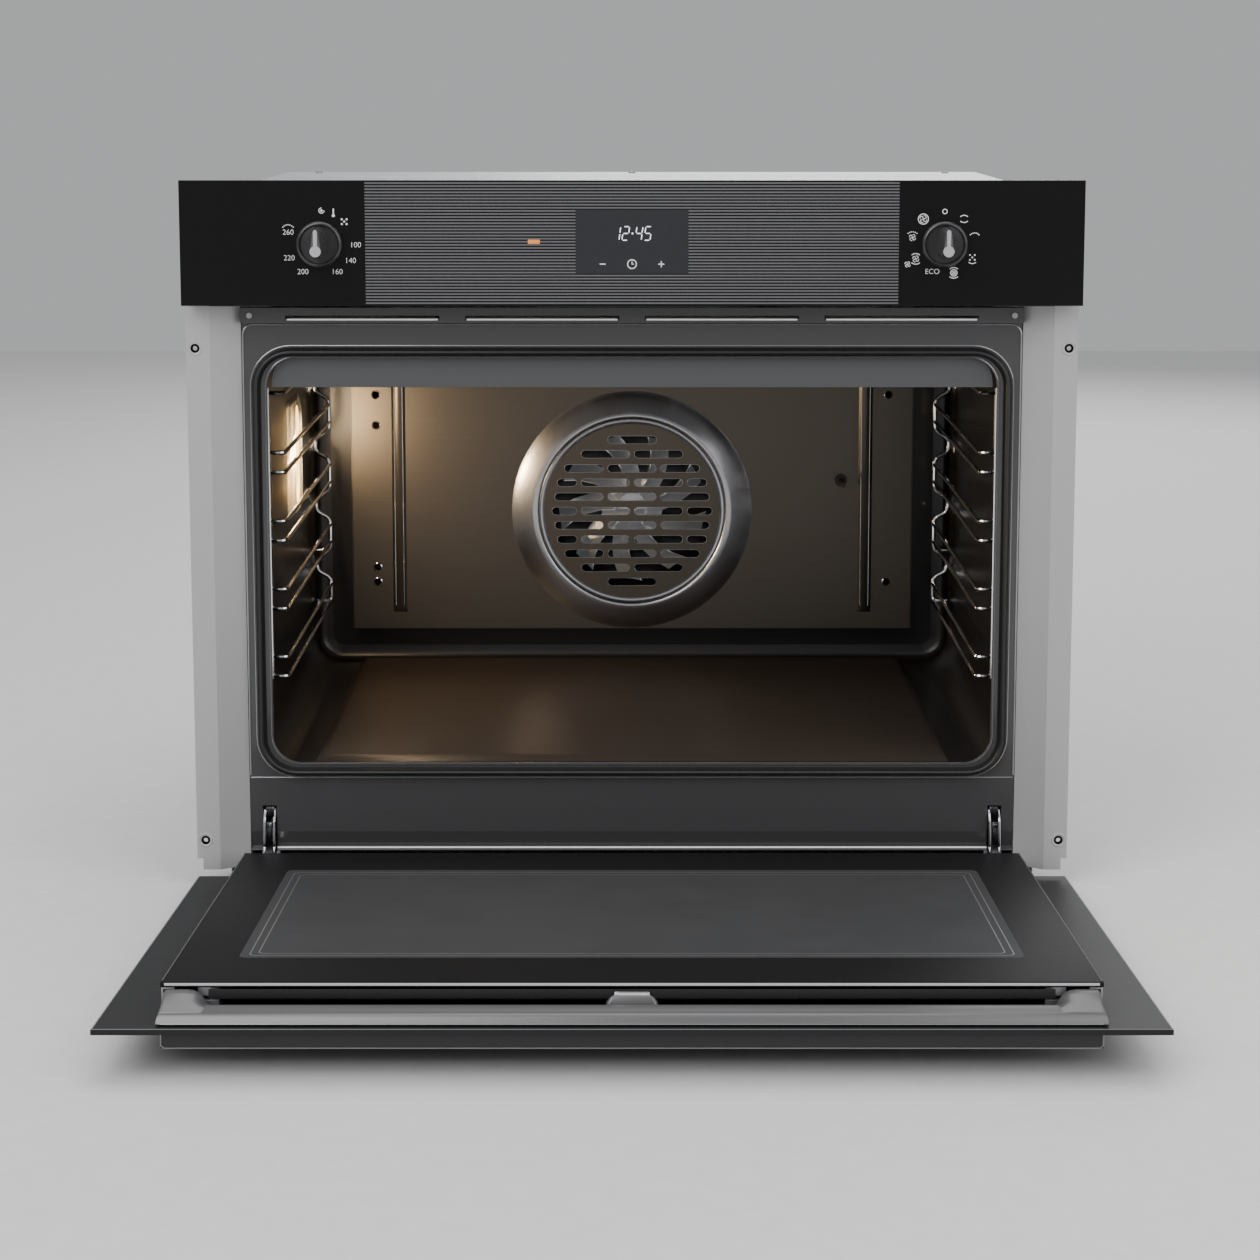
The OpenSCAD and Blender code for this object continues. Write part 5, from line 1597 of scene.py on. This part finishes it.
    def end_blocks(self, half: float, foot: float) -> None:
        """Fills both ends of the ledge, with a smooth fall into the recess.

        Args:
            half: half the ledge's width.
            foot: the ledge's rear edge.
        """
        section = [
            (1.3, 8.2), (5.0, 7.8), (8.0, 6.6), (11.0, 4.6), (14.0, 2.9), (18.0, 0.6), (22.0, -2.0),
            (23.4, -3.0),
        ]
        floor = [
            (1.3, -5.6), (5.0, -5.6), (8.0, -5.6), (11.0, -5.4), (14.0, -0.6), (18.0, -1.7), (22.0, -3.3),
            (23.4, -3.9),
        ]
        form = Form()
        for side in (-1, 1):
            rows = []
            for t, h in (
                (-0.02, 0.12), (0.0, 0.04), (0.04, 0.0), (0.5, 0.0), (0.66, 0.05), (0.78, 0.2), (0.88, 0.5),
                (0.98, 0.8), (1.08, 0.95), (1.16, 1.0),
            ):
                x = side * (half - 3.2 * MM - t * self.end_block)
                rows.append(
                    [
                        Vector((x, (a[1] + (b[1] - a[1]) * h) * MM, foot + a[0] * MM))
                        for a, b in zip(section, floor)
                    ]
                    + [Vector((x, -6 * MM, foot + 23.4 * MM)), Vector((x, -6 * MM, foot + 1.3 * MM))]
                )
            form.loft(rows)
        form.done("ledge_end_blocks", LEDGE_GREY, "door", "door_metal", place=self.place, sharp=60)

    def wing_edges(self) -> None:
        """Adds the ground edges of the outer pane."""
        lo, hi = self.local("door_outer_glass")
        form = Form()
        y = hi.y - 0.2 * MM
        for side in (-1, 1):
            x = side * (hi.x - 0.9 * MM)
            form.tube([Vector((x, y, lo.z + 1 * MM)), Vector((x, y, hi.z - 1 * MM))], 0.5 * MM, 8)
        ends = [Vector((x, y, hi.z - 0.8 * MM)) for x in (lo.x + 1 * MM, hi.x - 1 * MM)]
        form.tube(ends, 0.5 * MM, 8)
        form.done("outer_glass_edges", WING_EDGE, "door", "mirror_black_glass", place=self.place)

    def catch(self) -> None:
        """Builds the rounded bulge of the lock and its slotted plate."""
        lo, hi = self.local("lock_catch")
        form = Form()
        rows = []
        mid = (lo.z + hi.z) / 2
        for share in (0.0, 0.3, 0.6, 0.85, 1.0):
            grow = math.sqrt(max(0.04, 1 - share**2))
            y = lo.y + (hi.y - lo.y - 2 * MM) * share
            width, depth = (hi.x - lo.x) / 2 * (0.55 + 0.45 * grow), (hi.z - lo.z) / 2 * grow
            rows.append([Vector((x, y, mid + z)) for x, z in rounded(width, -depth, depth, depth * 0.98, 6)])
        form.loft(rows)
        form.done("lock_bulge", LEDGE_GREY, "door", "door_metal", ["lock_catch"], self.place, sharp=60)
        form = Form()
        half = 12.5 * MM
        form.block(
            Vector((-half, hi.y - 3 * MM, lo.z + 1.5 * MM)), Vector((half, hi.y, lo.z + 4.5 * MM)), 0.4 * MM
        )
        form.done("lock_plate", HINGE_STEEL, "door", "door_metal", place=self.place)

    def handle(self) -> None:
        """Builds the slim bar and its posts."""
        lo, hi = self.local("handle_bar")
        gap = 4 * MM
        face = hi.z - 0.5 * MM
        form = Form()
        form.block(lo, Vector((hi.x, hi.y - gap, face)), 0.8 * MM, 3)
        for side in (-1, 1):
            foot = Vector((side * 250 * MM, hi.y, (lo.z + hi.z) / 2))
            form.tube([foot, foot - Vector((0, gap + 1 * MM, 0))], 6 * MM, 24)
        form.done("handle", HANDLE_GREY, "door", "handle_metal", ["handle_bar"], self.place, sharp=50)
        # Light tubes along the handle's ends and one long edge: painted highlights.
        form = Form()
        r, z = 0.45 * MM, hi.z - 0.5 * MM
        half, foot, top = hi.x - 0.5 * MM, lo.y + 0.5 * MM, hi.y - gap - 0.6 * MM
        bend = 2 * MM
        path = [
            (-half, top), (-half, foot + bend), (-half + bend, foot),
            (half - bend, foot), (half, foot + bend), (half, top),
        ]
        form.tube([Vector((x, y, z)) for x, y in path], r, 6)
        form.done("handle_highlight_lines", HANDLE_HIGHLIGHT, "door", "handle_metal", place=self.place)


@dataclass
class HingeArms:
    """The two hinge arms that come out of the front panel."""

    edge: float = 0.4 * MM

    def build(self) -> None:
        """Dresses the arms."""
        for node in ("hinge_arm_left", "hinge_arm_right"):
            dress(node, HINGE_STEEL, self.edge)
        log.info("hinge arms dressed")


@dataclass
class Studio:
    """Pale floor, soft light and the camera."""

    floor_size: float = 9.0
    camera_back: float = 2.358
    camera_height: float = 0.7002
    pitch: float = 0.1429
    lens: float = 80.51
    shift: float = -0.12
    side_shift: float = -0.0016
    sky: float = 0.46
    glow_power: float = 1.3
    glow_colour: Colour = (1.0, 0.72, 0.42)
    glow_size: tuple[float, float] = (0.06, 0.10)

    def build(self) -> None:
        """Sets up the studio."""
        self.floor()
        self.sky_light()
        front, foot, rear = Vector((0, -0.2, 0.3)), Vector((0, -0.2, 0.0)), Vector((0, 0.2, 0.3))
        for name, place, aim, size, power in (
            ("key_light", (-1.6, -2.6, 2.3), front, 2.2, 70),
            ("fill_light", (2.0, -2.0, 1.6), front, 2.4, 34),
            ("top_light", (0, -0.3, 3.0), foot, 2.6, 46),
            ("rear_light", (0.8, 3.0, 2.0), rear, 2.4, 50),
        ):
            self.lamp(name, Vector(place), aim, size, power)
        self.cavity_lamp()
        self.camera()
        log.info("studio built")

    def floor(self) -> None:
        """Lays the floor under the oven."""
        form = Form()
        half = self.floor_size / 2
        form.loft(
            [[Vector((x, y, 0.0)) for x in (-half, half)] for y in (-half, half)], around=False, ends=False
        )
        form.mesh.normal_update()
        data = bpy.data.meshes.new("floor")
        form.mesh.to_mesh(data)
        form.mesh.free()
        data.materials.append(FLOOR_PALE.material())
        ground = bpy.data.objects.new("floor", data)
        ground.location.z = -0.0005
        bpy.context.scene.collection.objects.link(ground)

    def sky_light(self) -> None:
        """Fills the surroundings with even pale light."""
        world = bpy.data.worlds.new("studio")
        world.use_nodes = True
        bpy.context.scene.world = world
        back = world.node_tree.nodes["Background"]
        back.inputs["Color"].default_value = (0.95, 0.96, 0.98, 1.0)
        back.inputs["Strength"].default_value = self.sky

    def lamp(self, name: str, place: Vector, aim: Vector, size: float, power: float) -> None:
        """Hangs a square soft light.

        Args:
            name: its name.
            place: where it hangs.
            aim: the point it faces.
            size: its side.
            power: its watts.
        """
        light = bpy.data.lights.new(name, "AREA")
        light.shape, light.size, light.energy = "SQUARE", size, power
        holder = bpy.data.objects.new(name, light)
        holder.location = place
        holder.visible_camera = False
        holder.rotation_euler = (aim - place).to_track_quat("-Z", "Y").to_euler()
        bpy.context.scene.collection.objects.link(holder)

    def cavity_lamp(self) -> None:
        """Warms the cavity from the lamp's place on the left wall."""
        lo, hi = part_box("lamp_lens")
        light = bpy.data.lights.new("cavity_light", "AREA")
        light.shape, light.energy, light.color = "RECTANGLE", self.glow_power, self.glow_colour
        light.size, light.size_y = self.glow_size
        holder = bpy.data.objects.new("cavity_light", light)
        holder.location = Vector((hi.x + 0.004, (lo.y + hi.y) / 2, (lo.z + hi.z) / 2))
        holder.visible_camera = False
        aim = Vector((1.0, 0.35, -0.25))
        holder.rotation_euler = aim.to_track_quat("-Z", "Z").to_euler()
        bpy.context.scene.collection.objects.link(holder)

    def camera(self) -> None:
        """Places the camera in front of the oven and a little above it."""
        data = bpy.data.cameras.new("camera")
        data.lens, data.sensor_width = self.lens, 36.0
        data.shift_x, data.shift_y = self.side_shift, self.shift
        data.clip_end = 50.0
        eye = bpy.data.objects.new("camera", data)
        eye.location = (0.0, FRONT_Y - self.camera_back, self.camera_height)
        eye.rotation_euler = (math.radians(90) - self.pitch, 0.0, 0.0)
        bpy.context.scene.collection.objects.link(eye)
        bpy.context.scene.camera = eye


def main() -> None:
    """Builds every sub-assembly in order."""
    logging.basicConfig(level=logging.INFO, format="%(message)s")
    Carcass().build()
    Front().build()
    Cavity().build()
    FanCover().build()
    ConvectionFan().build()
    SideRack("side_rack_left", -1).build()
    SideRack("side_rack_right", 1).build()
    ControlPanel().build()
    Knob("temperature_knob", "temperature_pointer", "temperature_dial").build()
    Knob("function_knob", "function_pointer", "function_dial").build()
    Door().build()
    HingeArms().build()
    Studio().build()


if __name__ == "__main__":
    main()
